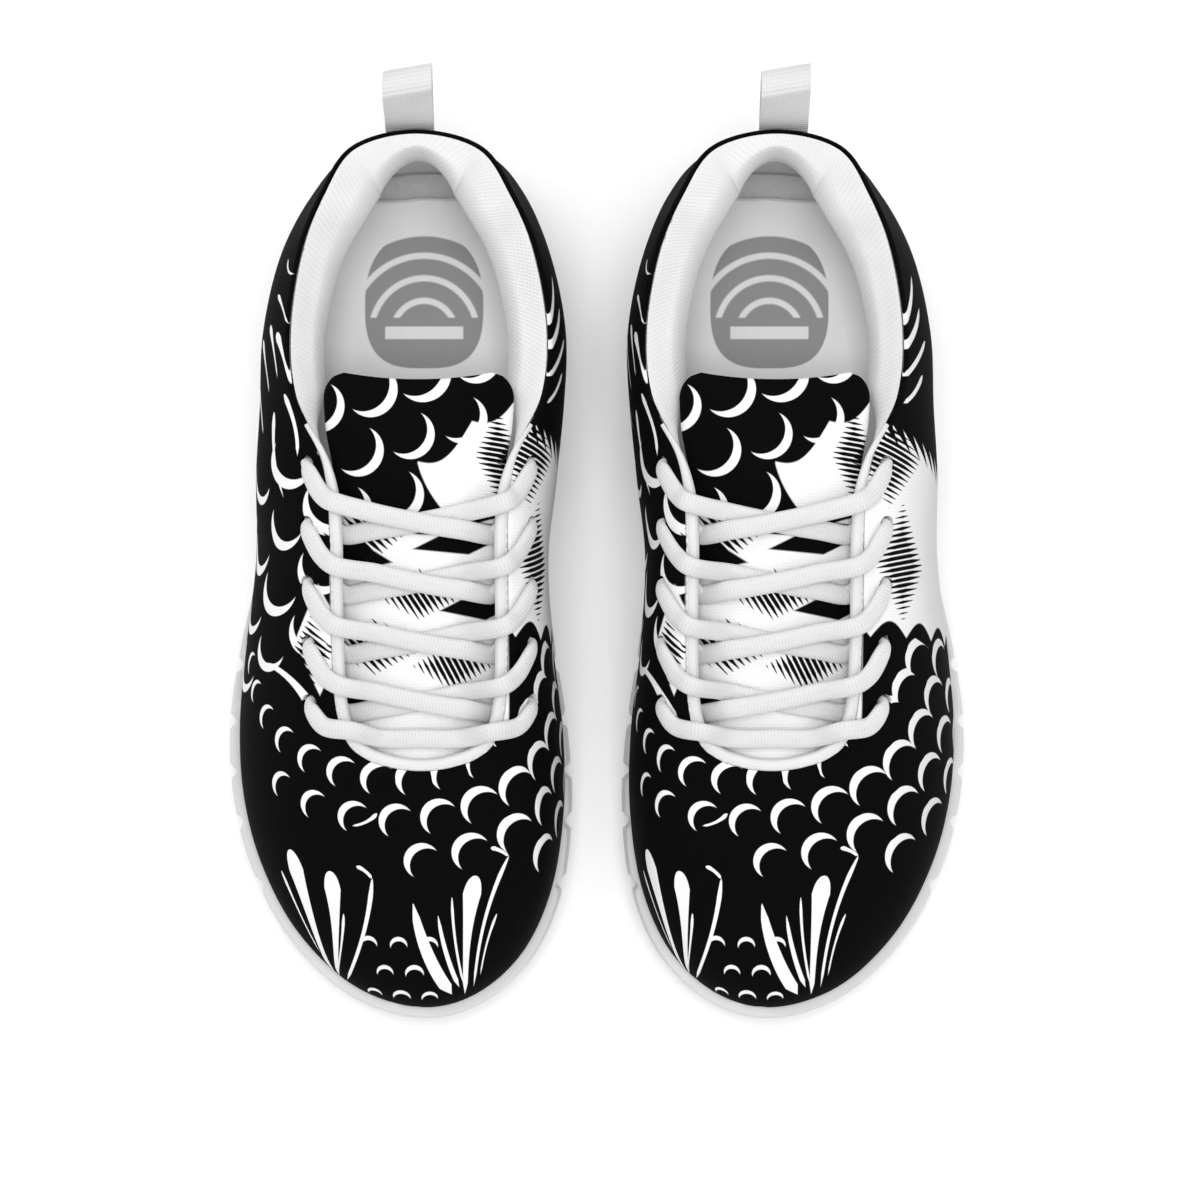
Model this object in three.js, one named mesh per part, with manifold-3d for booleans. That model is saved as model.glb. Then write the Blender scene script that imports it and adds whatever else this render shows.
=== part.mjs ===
// A pair of lace-up mesh training shoes, standing side by side with their toes towards -Y.
// Each shoe is built once in its own frame (x towards the outer side, y from toe to heel, z up, millimetres)
// and placed twice: as it is for the left foot, and mirrored for the right foot.
import * as THREE from "three";
import { mergeVertices } from "three/addons/utils/BufferGeometryUtils.js";
import Module from "manifold-3d";

const wasm = await Module();
wasm.setup();

// ---- driving dimensions, millimetres ----
const SOLE_LENGTH = 275; // toe tip to heel tip of the sole
const SOLE_WIDTH = 108.5; // across the ball of the foot
const COLLAR_HEIGHT = 97; // floor to the heel's top line
const CENTRE_SPACING = 108; // between the two shoes' centre lines
const GAP = 0.3; // running gap between neighbouring layers

const TREAD = 4; // outsole thickness
const HEEL_FOAM = 30; // floor to the top of the midsole at the heel
const BALL_FOAM = 20; // the same at the ball of the foot
const TOE_SPRING = 7; // how far the sole's tip lifts off the floor
const SPRING_START = -55; // where the sole starts to lift, along y
const GROOVE_DEPTH = 2;
const GROOVE_WIDTH = 3;
const NOTCH_DEPTH = 2.6; // edge notches between the tread blocks
const NOTCH_WIDTH = 2.4;

const BOARD = 1.4; // lasting board
const INSOLE = 4; // removable insole
const INSOLE_CLEARANCE = 1.9; // between the insole's rim and the lining

const FABRIC = 1.6; // printed outer mesh
const STAY = 0.9; // eyestay reinforcement
const COUNTER = 1.3; // heel counter
const PUFF = 0.9; // toe puff
const LINING = 0.9;
const COLLAR_PAD = 11; // foam in the collar, at its thickest
const HEEL_PINCH = 1.5; // the same foam at the back seam

const TONGUE_PAD = 4.2;
const TONGUE_HALF = 30; // half width under the eyestays
const TONGUE_LINING = 1;
const TONGUE_GAP = 0.4; // upright, so that it is GAP across the sloping sides

const EYELET_ROWS = 5;
const EYELET_PITCH = 18.2;
const EYELET_FIRST = -39.3; // y of the row nearest the toe
const EYELET_OUT = 34.2; // from the centre line
const EYELET_RADIUS = 3.2;

const LACE_WIDTH = 6;
const LACE_THICK = 2.8;
const TONGUE_DROP = LACE_THICK + 7.2; // how far the tongue's edge lies below its crown
const AGLET_RADIUS = 1.5;
const AGLET_LENGTH = 18;

const BINDING_WIDTH = 3.2; // tape around the throat's edge
const BINDING_PROUD = 0.4;

const TAB_WIDTH = 15;
const TAB_PLY = 1.2;
const TAB_LENGTH = 27;
const TAB_GAP = 7; // inside the loop, near its top
const TAB_LEAN = 32; // degrees back from upright
const TAB_ANCHOR = 16; // length sewn to the heel
const TAB_ASIDE = 2.2; // from the heel's middle to the outer side

// ---- the shape of the last ----
// Stations from heel to toe: sole edge on the outer and inner side [x, y], ledge of sole left showing on each side,
// top line [x, y, z], and the handles that make the wall swell low down and round over at the top [outwards, upwards].
// They are drawn for a sole of LAST.length by LAST.width with a heel LAST.height tall.
const LAST = { length: 275, width: 108.5, height: 97 };
const STATIONS = [
  { outer: [0, 135], inner: [0, 135], ledge: [4, 4], top: [0, 133.5, 97], low: [5, 20], high: [-4, -22] },
  { outer: [23, 130.3], inner: [-21, 130.6], ledge: [3.5, 3], top: [19.5, 128.6, 96], low: [6, 20], high: [-2, -21] },
  { outer: [34.8, 117], inner: [-31.5, 117.5], ledge: [3, 2], top: [29.5, 114.5, 91.5], low: [7, 18], high: [1, -19] },
  { outer: [43, 97], inner: [-37.5, 97], ledge: [3, 1.5], top: [36.3, 98, 84.5], low: [8, 17], high: [6, -16] },
  { outer: [46.5, 74], inner: [-40, 75], ledge: [3, 1.5], top: [40.2, 75, 78], low: [10, 17], high: [9, -15] },
  { outer: [47.5, 50], inner: [-39, 51], ledge: [3, 1.5], top: [38.6, 54, 78.5], low: [11, 18], high: [11, -16] },
  { outer: [49.5, 26], inner: [-38, 27], ledge: [3, 1.5], top: [29.6, 35, 81.5], low: [11, 19], high: [21, -9] },
  { outer: [53.5, 2], inner: [-38, 3], ledge: [3, 1.5], top: [27.3, 13, 81], low: [6, 19], high: [20, -8] },
  { outer: [59, -22], inner: [-40.5, -22], ledge: [4, 1.5], top: [27.3, -14, 74], low: [4, 19], high: [20, -7] },
  { outer: [62.5, -46], inner: [-44.5, -48], ledge: [4.3, 1.5], top: [26.5, -39, 66.5], low: [2, 18], high: [19, -5] },
  { outer: [61.5, -70], inner: [-46, -74], ledge: [4.3, 2.5], top: [23, -51.5, 63], low: [1.5, 17], high: [20, -4] },
  { outer: [55.5, -93], inner: [-43, -100], ledge: [4.3, 3.5], top: [17, -57, 61.3], low: [1, 17], high: [24, -4] },
  { outer: [43.5, -115], inner: [-33.5, -121.5], ledge: [4.3, 4], top: [9.5, -59.6, 60.4], low: [1, 17], high: [31, -6] },
  { outer: [25, -132.5], inner: [-17, -136], ledge: [4.3, 4.3], top: [4, -60.5, 60], low: [1, 17], high: [37, -8] },
  { outer: [3, -140], inner: [3, -140], ledge: [4.3, 4.3], top: [0, -60.7, 60], low: [1, 17], high: [39, -9] },
];
const INNER_LOW = 0.8; // the inner side swells less than the outer one
const INNER_HIGH = 0.62;
const TOE_ROW = STATIONS.length - 1;
const LOOP = 2 * TOE_ROW; // stations once round the shoe
const scale = {
  x: SOLE_WIDTH / LAST.width,
  y: SOLE_LENGTH / LAST.length,
  z: COLLAR_HEIGHT / LAST.height,
};

// The layers share one grid, so that their facets lie parallel: columns counted round the loop from the heel,
// and levels up the wall from the sole to the top line.
const AROUND = 42;
const LEVELS = [0, 0.04, 0.25, 0.46, 0.6, 0.68, 0.82, 0.96, 1];
const COLLAR_END = 9; // columns from the heel to the top of the throat
const THROAT_START = 10;
const SEAM = 0.05; // between the two linings, in columns

const MATERIALS = {
  printed_mesh: new THREE.MeshStandardMaterial({ color: 0x0b0b0c, roughness: 0.85, metalness: 0 }),
  lining: new THREE.MeshStandardMaterial({ color: 0xe9e9e9, roughness: 0.95, metalness: 0 }),
  foam: new THREE.MeshStandardMaterial({ color: 0xd9d4c4, roughness: 1, metalness: 0 }),
  board: new THREE.MeshStandardMaterial({ color: 0xcfcfcf, roughness: 0.9, metalness: 0 }),
  sole: new THREE.MeshStandardMaterial({ color: 0xf2f2f2, roughness: 0.6, metalness: 0 }),
  tread: new THREE.MeshStandardMaterial({ color: 0xececec, roughness: 0.7, metalness: 0 }),
  lace: new THREE.MeshStandardMaterial({ color: 0xf0f0f0, roughness: 0.9, metalness: 0 }),
  aglet: new THREE.MeshStandardMaterial({ color: 0xe6e6e6, roughness: 0.3, metalness: 0 }),
  webbing: new THREE.MeshStandardMaterial({ color: 0xe4e4e4, roughness: 0.85, metalness: 0 }),
};

const clamp = THREE.MathUtils.clamp;
const smoothstep = THREE.MathUtils.smoothstep;
const lerp = THREE.MathUtils.lerp;

// ---- closed solids from grids of points ----

// Indexed triangles as a closed geometry, turned so that its faces point outwards.
function closedGeometry(points, triangles) {
  let volume = 0;
  for (const [a, b, c] of triangles) {
    volume += points[a].dot(new THREE.Vector3().crossVectors(points[b], points[c]));
  }
  const index = triangles.flatMap(([a, b, c]) => (volume > 0 ? [a, b, c] : [a, c, b]));
  const geometry = new THREE.BufferGeometry().setFromPoints(points);
  geometry.setIndex(index);
  return geometry;
}

// A shell between an outer and an inner surface, each a function of (i, j) on the same grid.
function shell(columns, rows, closed, outer, inner) {
  const points = [];
  const count = closed ? columns : columns + 1;
  const at = (side, i, j) => (side * count + (i % count)) * (rows + 1) + j;
  for (const surface of [outer, inner]) {
    for (let i = 0; i < count; i++) {
      for (let j = 0; j <= rows; j++) points.push(surface(i, j));
    }
  }
  const triangles = [];
  const quad = (a, b, c, d) => triangles.push([a, b, c], [a, c, d]);
  for (let i = 0; i < columns; i++) {
    for (let j = 0; j < rows; j++) {
      quad(at(0, i, j), at(0, i + 1, j), at(0, i + 1, j + 1), at(0, i, j + 1));
      quad(at(1, i, j), at(1, i, j + 1), at(1, i + 1, j + 1), at(1, i + 1, j));
    }
    quad(at(0, i, 0), at(1, i, 0), at(1, i + 1, 0), at(0, i + 1, 0));
    quad(at(0, i, rows), at(0, i + 1, rows), at(1, i + 1, rows), at(1, i, rows));
  }
  if (!closed) {
    for (let j = 0; j < rows; j++) {
      quad(at(0, 0, j), at(0, 0, j + 1), at(1, 0, j + 1), at(1, 0, j));
      quad(at(0, columns, j), at(1, columns, j), at(1, columns, j + 1), at(0, columns, j + 1));
    }
  }
  return closedGeometry(points, triangles);
}

// A bar through a list of rings, each with the same number of points, with flat ends.
function bar(rings) {
  const sides = rings[0].length;
  const points = rings.flat();
  const at = (ring, side) => ring * sides + (side % sides);
  const triangles = [];
  for (let k = 0; k < rings.length - 1; k++) {
    for (let s = 0; s < sides; s++) {
      triangles.push([at(k, s), at(k, s + 1), at(k + 1, s + 1)]);
      triangles.push([at(k, s), at(k + 1, s + 1), at(k + 1, s)]);
    }
  }
  const last = rings.length - 1;
  for (let s = 1; s < sides - 1; s++) {
    triangles.push([at(0, 0), at(0, s + 1), at(0, s)]);
    triangles.push([at(last, 0), at(last, s), at(last, s + 1)]);
  }
  return closedGeometry(points, triangles);
}

// A plate whose rim is a stack of loops, with its two faces laid like ladder rungs from side to side.
function plate(loops) {
  const count = loops[0].length;
  const half = count / 2;
  const points = loops.flat();
  const at = (loop, k) => loop * count + (k % count);
  const triangles = [];
  const quad = (a, b, c, d) => triangles.push([a, b, c], [a, c, d]);
  for (let n = 0; n < loops.length - 1; n++) {
    for (let k = 0; k < count; k++) quad(at(n, k), at(n, k + 1), at(n + 1, k + 1), at(n + 1, k));
  }
  for (const [loop, up] of [[0, false], [loops.length - 1, true]]) {
    const face = (a, b, c) => triangles.push(up ? [a, b, c] : [a, c, b]);
    for (let k = 0; k < half; k++) {
      const [a, b] = [at(loop, k), at(loop, k + 1)];
      const [c, d] = [at(loop, count - k - 1), at(loop, count - k)];
      if (k < half - 1) face(a, b, c);
      if (k > 0) face(a, c, d);
    }
  }
  return closedGeometry(points, triangles);
}

function manifold(geometry) {
  const plain = geometry.clone();
  plain.deleteAttribute("normal");
  plain.deleteAttribute("uv");
  const merged = mergeVertices(plain, 1e-4);
  return new wasm.Manifold(
    new wasm.Mesh({
      numProp: 3,
      vertProperties: merged.attributes.position.array,
      triVerts: new Uint32Array(merged.index.array),
    }),
  );
}

function cutAway(geometry, tools) {
  const rest = tools.reduce((body, tool) => body.subtract(manifold(tool)), manifold(geometry));
  const mesh = rest.getMesh();
  const cut = new THREE.BufferGeometry();
  cut.setAttribute("position", new THREE.BufferAttribute(new Float32Array(mesh.vertProperties), 3));
  cut.setIndex(new THREE.BufferAttribute(new Uint32Array(mesh.triVerts), 1));
  return cut;
}

// ---- the last: sole edge, top line and the wall between them ----

const closedCurve = (points) => new THREE.CatmullRomCurve3(points, true, "catmullrom", 0.5);

// The station at place k round the loop, and the side that it lies on.
function station(k) {
  const row = k <= TOE_ROW ? k : LOOP - k;
  const inner = k > TOE_ROW;
  return { ...STATIONS[row], inner, edge: inner ? STATIONS[row].inner : STATIONS[row].outer };
}
const loopStations = Array.from({ length: LOOP }, (_, k) => station(k));
const soleEdge = closedCurve(
  loopStations.map((s) => new THREE.Vector3(s.edge[0] * scale.x, s.edge[1] * scale.y, 0)),
);

// Unit vector pointing out of the sole's edge.
function outward(u) {
  const tangent = soleEdge.getTangent((u + 1) % 1);
  return new THREE.Vector3(tangent.y, -tangent.x, 0).normalize().negate();
}

// How far the underside lifts off the floor, and the height of the midsole's top face.
function spring(y) {
  const toe = -SOLE_LENGTH / 2 - 2.5;
  return TOE_SPRING * clamp((y - SPRING_START) / (toe - SPRING_START), 0, 1) ** 2;
}
function featherHeight(y) {
  return spring(y) + lerp(BALL_FOAM, HEEL_FOAM, smoothstep(y, -60, 70));
}

const wallCurves = (() => {
  const foot = [];
  const low = [];
  const high = [];
  const top = [];
  loopStations.forEach((s, k) => {
    const out = outward(k / LOOP);
    const edge = soleEdge.getPoint(k / LOOP);
    const base = edge.clone().addScaledVector(out, -s.ledge[s.inner ? 1 : 0]);
    base.z = featherHeight(base.y) + GAP;
    const [tx, ty, tz] = s.top;
    const rim = new THREE.Vector3((s.inner ? -tx : tx) * scale.x, ty * scale.y, tz * scale.z);
    const handle = (from, [sideways, up], share) =>
      from
        .clone()
        .addScaledVector(out, sideways * share)
        .add(new THREE.Vector3(0, 0, up * scale.z));
    foot.push(base);
    low.push(handle(base, s.low, s.inner ? INNER_LOW : 1));
    high.push(handle(rim, s.high, s.inner && s.high[0] > 0 && tx > 20 ? INNER_HIGH : 1));
    top.push(rim);
  });
  return [foot, low, high, top].map(closedCurve);
})();

// The outer face of the upper: u goes once round from the heel by the outer side, v from the sole to the top line.
function face(u, v) {
  const t = ((u % 1) + 1) % 1;
  const [a, b, c, d] = wallCurves.map((curve) => curve.getPoint(t));
  const w = 1 - v;
  return a
    .multiplyScalar(w * w * w)
    .addScaledVector(b, 3 * w * w * v)
    .addScaledVector(c, 3 * w * v * v)
    .addScaledVector(d, v * v * v);
}
function faceNormal(u, v) {
  const step = 1e-3;
  const along = face(u + step, v).sub(face(u - step, v));
  const up = face(u, Math.min(v + step, 1)).sub(face(u, Math.max(v - step, 0)));
  return up.cross(along).normalize();
}
// A point that lies a depth inside the outer face; a negative depth stands proud of it.
function wall(u, v, depth = 0) {
  return face(u, v).addScaledVector(faceNormal(u, v), -depth);
}

// The (u, v) of the outer face above a point in plan, found by halving steps.
function locate(x, y, inner) {
  let best = { u: inner ? 1 - 0.27 : 0.27, v: 0.85, miss: Infinity };
  const miss = (u, v) => {
    const p = face(u, v);
    return (p.x - x) ** 2 + (p.y - y) ** 2;
  };
  for (let step = 0.08; step > 1e-5; step *= 0.7) {
    for (const [du, dv] of [[0, 0], [step, 0], [-step, 0], [0, step], [0, -step]]) {
      const u = best.u + du;
      const v = clamp(best.v + dv, 0.3, 1);
      const found = miss(u, v);
      if (found < best.miss) best = { u, v, miss: found };
    }
    if (step < 1e-3 && best.miss > 0.01 && best.miss < 400) step *= 1.25;
  }
  return best;
}

// ---- layers of the upper ----


// Thickness of the collar's foam: none at the throat, full at the ankle, pinched at the back seam.
function padThickness(u, v) {
  const row = Math.min(u, 1 - u) * LOOP;
  const along = COLLAR_PAD * (1 - smoothstep(row, 4.9, 6));
  const pinch = lerp(HEEL_PINCH / COLLAR_PAD, 1, smoothstep(row, 0, 0.6));
  const rise = smoothstep(v, 0.42, 0.78) * (1 - smoothstep(v, 0.88, 1.06));
  return 0.6 + along * pinch * rise;
}
const PAD_DEPTH = FABRIC + COUNTER + 2 * GAP;
const liningDepth = (u, v) => PAD_DEPTH + padThickness(u, v) + GAP;

// A patch of one layer, over the columns from c0 to c1 and the levels from l0 to l1, near to far in depth.
// Only its first and last column may lie between two of the grid's; AROUND columns close on themselves.
function layer([c0, c1], [l0, l1], near, far) {
  const count = Math.ceil(c1) - Math.floor(c0);
  const place = (depth) => (i, j) => {
    const [u, v] = [clamp(Math.floor(c0) + i, c0, c1) / AROUND, LEVELS[l0 + j]];
    return wall(u, v, depth(u, v));
  };
  return shell(count, l1 - l0, c1 - c0 === AROUND, place(near), place(far));
}
const fixed = (value) => () => value;
const bySymmetry = (columns) => [-columns, columns];
const aroundToe = (column) => [column, AROUND - column];

function eyelets() {
  const list = [];
  for (const inner of [false, true]) {
    for (let n = 0; n < EYELET_ROWS; n++) {
      const y = EYELET_FIRST + n * EYELET_PITCH;
      const x = inner ? -EYELET_OUT : EYELET_OUT;
      list.push({ n, inner, ...locate(x * scale.x, y * scale.y, inner) });
    }
  }
  return list;
}
const EYELETS = eyelets();

function punch(eyelet) {
  const hole = new THREE.CylinderGeometry(EYELET_RADIUS, EYELET_RADIUS, 12, 8);
  const turn = new THREE.Quaternion().setFromUnitVectors(
    new THREE.Vector3(0, 1, 0),
    faceNormal(eyelet.u, eyelet.v),
  );
  const at = wall(eyelet.u, eyelet.v, 1);
  return hole.applyQuaternion(turn).translate(at.x, at.y, at.z);
}

function upper() {
  return cutAway(layer([0, AROUND], [0, 8], fixed(0), fixed(FABRIC)), EYELETS.map(punch));
}

function eyestay(inner) {
  const depth = FABRIC + GAP;
  const columns = inner ? [AROUND - 15, AROUND - 8] : [8, 15];
  const strip = layer(columns, [5, 7], fixed(depth), fixed(depth + STAY));
  return cutAway(strip, EYELETS.filter((e) => e.inner === inner).map(punch));
}

function heelCounter() {
  const depth = FABRIC + GAP;
  return layer(bySymmetry(5), [1, 4], fixed(depth), fixed(depth + COUNTER));
}

function toePuff() {
  const depth = FABRIC + GAP;
  return layer(aroundToe(16), [1, 3], fixed(depth), fixed(depth + PUFF));
}

function vampLining() {
  const depth = FABRIC + PUFF + 2 * GAP;
  return layer(aroundToe(COLLAR_END + SEAM), [1, 5], fixed(depth), fixed(depth + LINING));
}

function collarFoam() {
  const near = (u, v) => (v > LEVELS[4] ? FABRIC + GAP : PAD_DEPTH);
  const far = (u, v) => PAD_DEPTH + padThickness(u, v) - (v > LEVELS[6] ? 4 * GAP : 0);
  return layer(bySymmetry(COLLAR_END - 2), [3, 7], near, far);
}

function collarLining() {
  const near = (u, v) => (v === 1 ? FABRIC + GAP : liningDepth(u, v));
  return layer(bySymmetry(COLLAR_END), [1, 8], near, (u, v) => near(u, v) + LINING);
}

// ---- the throat's binding: a tape round the edge of the upper and its eyestays ----

// The throat's edge at u, with the ways up from the face and on across it into the opening.
function rim(u) {
  const up = faceNormal(u, 1);
  const along = face(u + 1e-3, 1).sub(face(u - 1e-3, 1)).normalize();
  return { edge: face(u, 1), up, inward: new THREE.Vector3().crossVectors(along, up).normalize() };
}
function throatBinding() {
  const below = FABRIC + STAY + 2 * GAP;
  const rings = [];
  for (let column = THROAT_START; column <= AROUND - THROAT_START; column++) {
    const { edge, up, inward } = rim(column / AROUND);
    const corner = (side, rise) =>
      edge.clone().addScaledVector(inward, side).addScaledVector(up, rise);
    rings.push([
      corner(GAP, BINDING_PROUD),
      corner(GAP + BINDING_WIDTH, BINDING_PROUD - 0.3),
      corner(GAP + BINDING_WIDTH, -below + 0.3),
      corner(GAP, -below),
    ]);
  }
  return bar(rings);
}

// ---- the tongue ----
const TONGUE_LINE = closedLine([
  [-76, 53.6],
  [-60, 56.4],
  [-40, 62.6],
  [-14, 71.4],
  [14, 79.8],
  [30, 84.8],
  [45, 87.5],
  [61, 90],
]);
const TONGUE_HALVES = closedLine([
  [-76, 20],
  [-60, 24],
  [-45, TONGUE_HALF - 1],
  [-20, TONGUE_HALF],
  [5, TONGUE_HALF],
  [15, TONGUE_HALF - 2],
  [30, TONGUE_HALF - 3.8],
  [45, TONGUE_HALF - 1.6],
  [61, TONGUE_HALF - 0.8],
]);

// A smooth value along y through [y, value] pairs.
function closedLine(pairs) {
  const curve = new THREE.CatmullRomCurve3(
    pairs.map(([y, value]) => new THREE.Vector3(y, value, 0)),
    false,
    "catmullrom",
    0.5,
  );
  const [first, last] = [pairs[0][0], pairs[pairs.length - 1][0]];
  return {
    first,
    last,
    at(y) {
      let [low, high] = [0, 1];
      for (let k = 0; k < 24; k++) {
        const middle = (low + high) / 2;
        if (curve.getPoint(middle).x < y) low = middle;
        else high = middle;
      }
      return curve.getPoint(low).y;
    },
  };
}
function tongueTop(x, y) {
  const share = x / (TONGUE_HALF * scale.x);
  return TONGUE_LINE.at(y / scale.y) * scale.z - TONGUE_DROP * share * share;
}
// One layer of the tongue, from the depth near to the depth far below its top face.
function tongueLayer(near, far) {
  const [columns, rows] = [12, 6];
  const { first, last } = TONGUE_LINE;
  const place = (depth) => (i, j) => {
    const y = lerp(first, last, i / columns);
    const corner = 5 * clamp((y - last + 12) / 12, 0, 1) ** 2;
    const side = (2 * j) / rows - 1;
    const x = side * (TONGUE_HALVES.at(y) - corner) * scale.x;
    return new THREE.Vector3(x, y * scale.y, tongueTop(x, y * scale.y) - depth(side, y));
  };
  return shell(columns, rows, false, place(near), place(far));
}
const padding = (side, y) =>
  TONGUE_PAD * (1 - 0.6 * Math.abs(side) ** 3) * lerp(0.5, 1, smoothstep(y, -76, -50));
const tongue = () => tongueLayer(fixed(0), padding);
const tongueLining = () =>
  tongueLayer(
    (side, y) => padding(side, y) + TONGUE_GAP,
    (side, y) => padding(side, y) + TONGUE_GAP + TONGUE_LINING,
  );

// ---- laces: one cord, threaded from the top outer eyelet down to the bar and back up ----
const LIFT = LACE_THICK / 2 + 0.6; // centre of a strand lying on something
const UNDER = FABRIC + STAY + 3 * GAP + LACE_THICK / 2 + 0.3; // centre of a strand below the eyestay
const STACK = LACE_THICK + 0.55; // centre to centre where two strands cross
const EDGE_OUT = 27.3; // half the throat's width
const NECK = 0.6; // share of its width that the cord keeps inside an eyelet

// Each route point is { at, width }: a place for the cord's centre and a share of its full width.
function onFace(x, y, height, width = 1) {
  const inner = x < 0;
  const { u, v } = locate(x * scale.x, y * scale.y, inner);
  return { at: wall(u, v, -height), up: faceNormal(u, v), width };
}
function onTongue(x, y, height, width = 1) {
  const [px, py] = [x * scale.x, y * scale.y];
  const slopeX = (tongueTop(px + 1, py) - tongueTop(px - 1, py)) / 2;
  const slopeY = (tongueTop(px, py + 1) - tongueTop(px, py - 1)) / 2;
  const at = new THREE.Vector3(px, py, tongueTop(px, py) + height);
  return { at, up: new THREE.Vector3(-slopeX, -slopeY, 1).normalize(), width };
}

// Past the throat's edge, in line with the face outside it.
function overRim(side, y, beyond, height, width = 1) {
  const { u } = locate(side * EDGE_OUT * scale.x, y * scale.y, side < 0);
  const { edge, up, inward } = rim(u);
  return { at: edge.addScaledVector(inward, beyond).addScaledVector(up, height), up, width };
}

// From the eyelet of row n on one side, over its edge, across, and under the other edge to row n - 1.
function strand(n, side) {
  const y = EYELET_FIRST + n * EYELET_PITCH;
  const lower = y - EYELET_PITCH;
  const out = EYELET_OUT;
  const level = LIFT + (side > 0 ? STACK : 0);
  return [
    onFace(side * out, y, -1.2, NECK),
    onFace(side * (out - 0.4), y - 0.5, 0.7, NECK + 0.05),
    onFace(side * (out - 2), y - 2.6, LIFT, 0.9),
    onFace(side * (EDGE_OUT + 1.2), y - 9, LIFT + BINDING_PROUD),
    overRim(side, y - 12, BINDING_WIDTH + 1, LIFT + BINDING_PROUD + 0.4),
    onTongue(side * 14, y - 14.8, level + 1.2),
    onTongue(side * 7, y - 16.4, level + 0.2),
    onTongue(0, y - 17.8, level),
    onTongue(-side * 7, y - 19.1, level),
    onTongue(-side * 14, y - 20.2, level),
    onTongue(-side * 22, y - 21.6, LIFT),
    onFace(-side * (EDGE_OUT + 0.4), lower - 2.8, -UNDER),
    onFace(-side * (out - 2.2), lower - 0.6, -UNDER, 0.9),
    onFace(-side * (out - 0.3), lower, -UNDER + 1.2, NECK + 0.05),
  ];
}

// The straight bar over the lowest row.
function crossBar() {
  const y = EYELET_FIRST;
  const half = (side) => [
    onFace(side * EYELET_OUT, y, -1.2, NECK),
    onFace(side * (EYELET_OUT - 0.4), y - 0.6, 0.7, NECK + 0.05),
    onFace(side * (EYELET_OUT - 2), y - 2.4, LIFT, 0.9),
    onFace(side * (EDGE_OUT + 1.2), y - 6.6, LIFT + BINDING_PROUD),
    overRim(side, y - 9, BINDING_WIDTH + 1, LIFT + BINDING_PROUD + 0.4),
  ];
  const middle = [1, 0, -1].map((s) => onTongue(s * 12, y - 11, LIFT + STACK - 1));
  return [...half(1), ...middle, ...half(-1).reverse()];
}

// The loose end, tucked down inside the shoe against the lining; from the eyelet to the tip.
function tuckedEnd(side) {
  const top = EYELET_FIRST + (EYELET_ROWS - 1) * EYELET_PITCH;
  const { u, v } = locate(side * EYELET_OUT * scale.x, top * scale.y, side < 0);
  const depth = FABRIC + STAY + 3 * GAP + LINING + LACE_THICK / 2 + 2;
  const toTheToe = side < 0 ? -1 : 1;
  const steps = [
    [0, 0, -UNDER + 1.2, NECK + 0.05],
    [0.0025, -0.035, -depth + 1.2, 0.68],
    [0.007, -0.1, -depth, 0.75],
    [0.014, -0.2, -depth, 0.85],
    [0.024, -0.3, -depth, 0.85],
    [0.036, -0.38, -depth, 0.7],
  ];
  return steps.map(([du, dv, height, width]) => {
    const [pu, pv] = [u + toTheToe * du, v + dv];
    return { at: wall(pu, pv, -height), up: faceNormal(pu, pv), width };
  });
}

function laceRoute() {
  const side = (first) => {
    const route = [...tuckedEnd(first)].reverse();
    for (let n = EYELET_ROWS - 1, s = first; n > 0; n--, s = -s) route.push(...strand(n, s));
    return route;
  };
  const down = side(1);
  const up = side(-1).reverse();
  return EYELET_ROWS % 2 === 1
    ? [...down, ...crossBar(), ...up]
    : [...down, ...crossBar().reverse(), ...up];
}
const ROUTE = laceRoute();

// Rings of a flat cord along a route: the wide way lies across the cord and along the surface below it.
function cordRings(route, sides = 6) {
  let across = new THREE.Vector3(0, 1, 0);
  return route.map((point, k) => {
    const before = route[Math.max(k - 1, 0)].at;
    const after = route[Math.min(k + 1, route.length - 1)].at;
    const tangent = after.clone().sub(before).normalize();
    const wanted = new THREE.Vector3().crossVectors(tangent, point.up);
    if (wanted.length() > 0.45) {
      wanted.normalize();
      if (wanted.dot(across) < 0) wanted.negate();
      across = k === 0 ? wanted : across.lerp(wanted, 0.75);
    }
    across.addScaledVector(tangent, -across.dot(tangent)).normalize();
    const thin = new THREE.Vector3().crossVectors(tangent, across);
    return Array.from({ length: sides }, (_, s) => {
      const angle = ((s + 0.5) / sides) * 2 * Math.PI;
      return point.at
        .clone()
        .addScaledVector(across, ((Math.sin(angle) * LACE_WIDTH) / 2) * point.width)
        .addScaledVector(thin, ((Math.cos(angle) * LACE_THICK) / 2) * 1.15);
    });
  });
}
const lace = () => bar(cordRings(ROUTE));

// The hard tip on a lace end, running on from the end of the route.
function aglet(end) {
  const [tip, before] = end > 0 ? [ROUTE.at(-1).at, ROUTE.at(-2).at] : [ROUTE[0].at, ROUTE[1].at];
  const direction = tip.clone().sub(before).normalize();
  const start = GAP + AGLET_LENGTH / 2;
  const at = tip.clone().addScaledVector(direction, start);
  const turn = new THREE.Quaternion().setFromUnitVectors(new THREE.Vector3(0, 1, 0), direction);
  return new THREE.CylinderGeometry(AGLET_RADIUS, AGLET_RADIUS, AGLET_LENGTH, 8)
    .applyQuaternion(turn)
    .translate(at.x, at.y, at.z);
}

// ---- the pull tab at the heel: a sewn anchor and the free loop above it ----
const TAB_V = 0.9; // where the loop leaves the heel, up the wall

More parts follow.
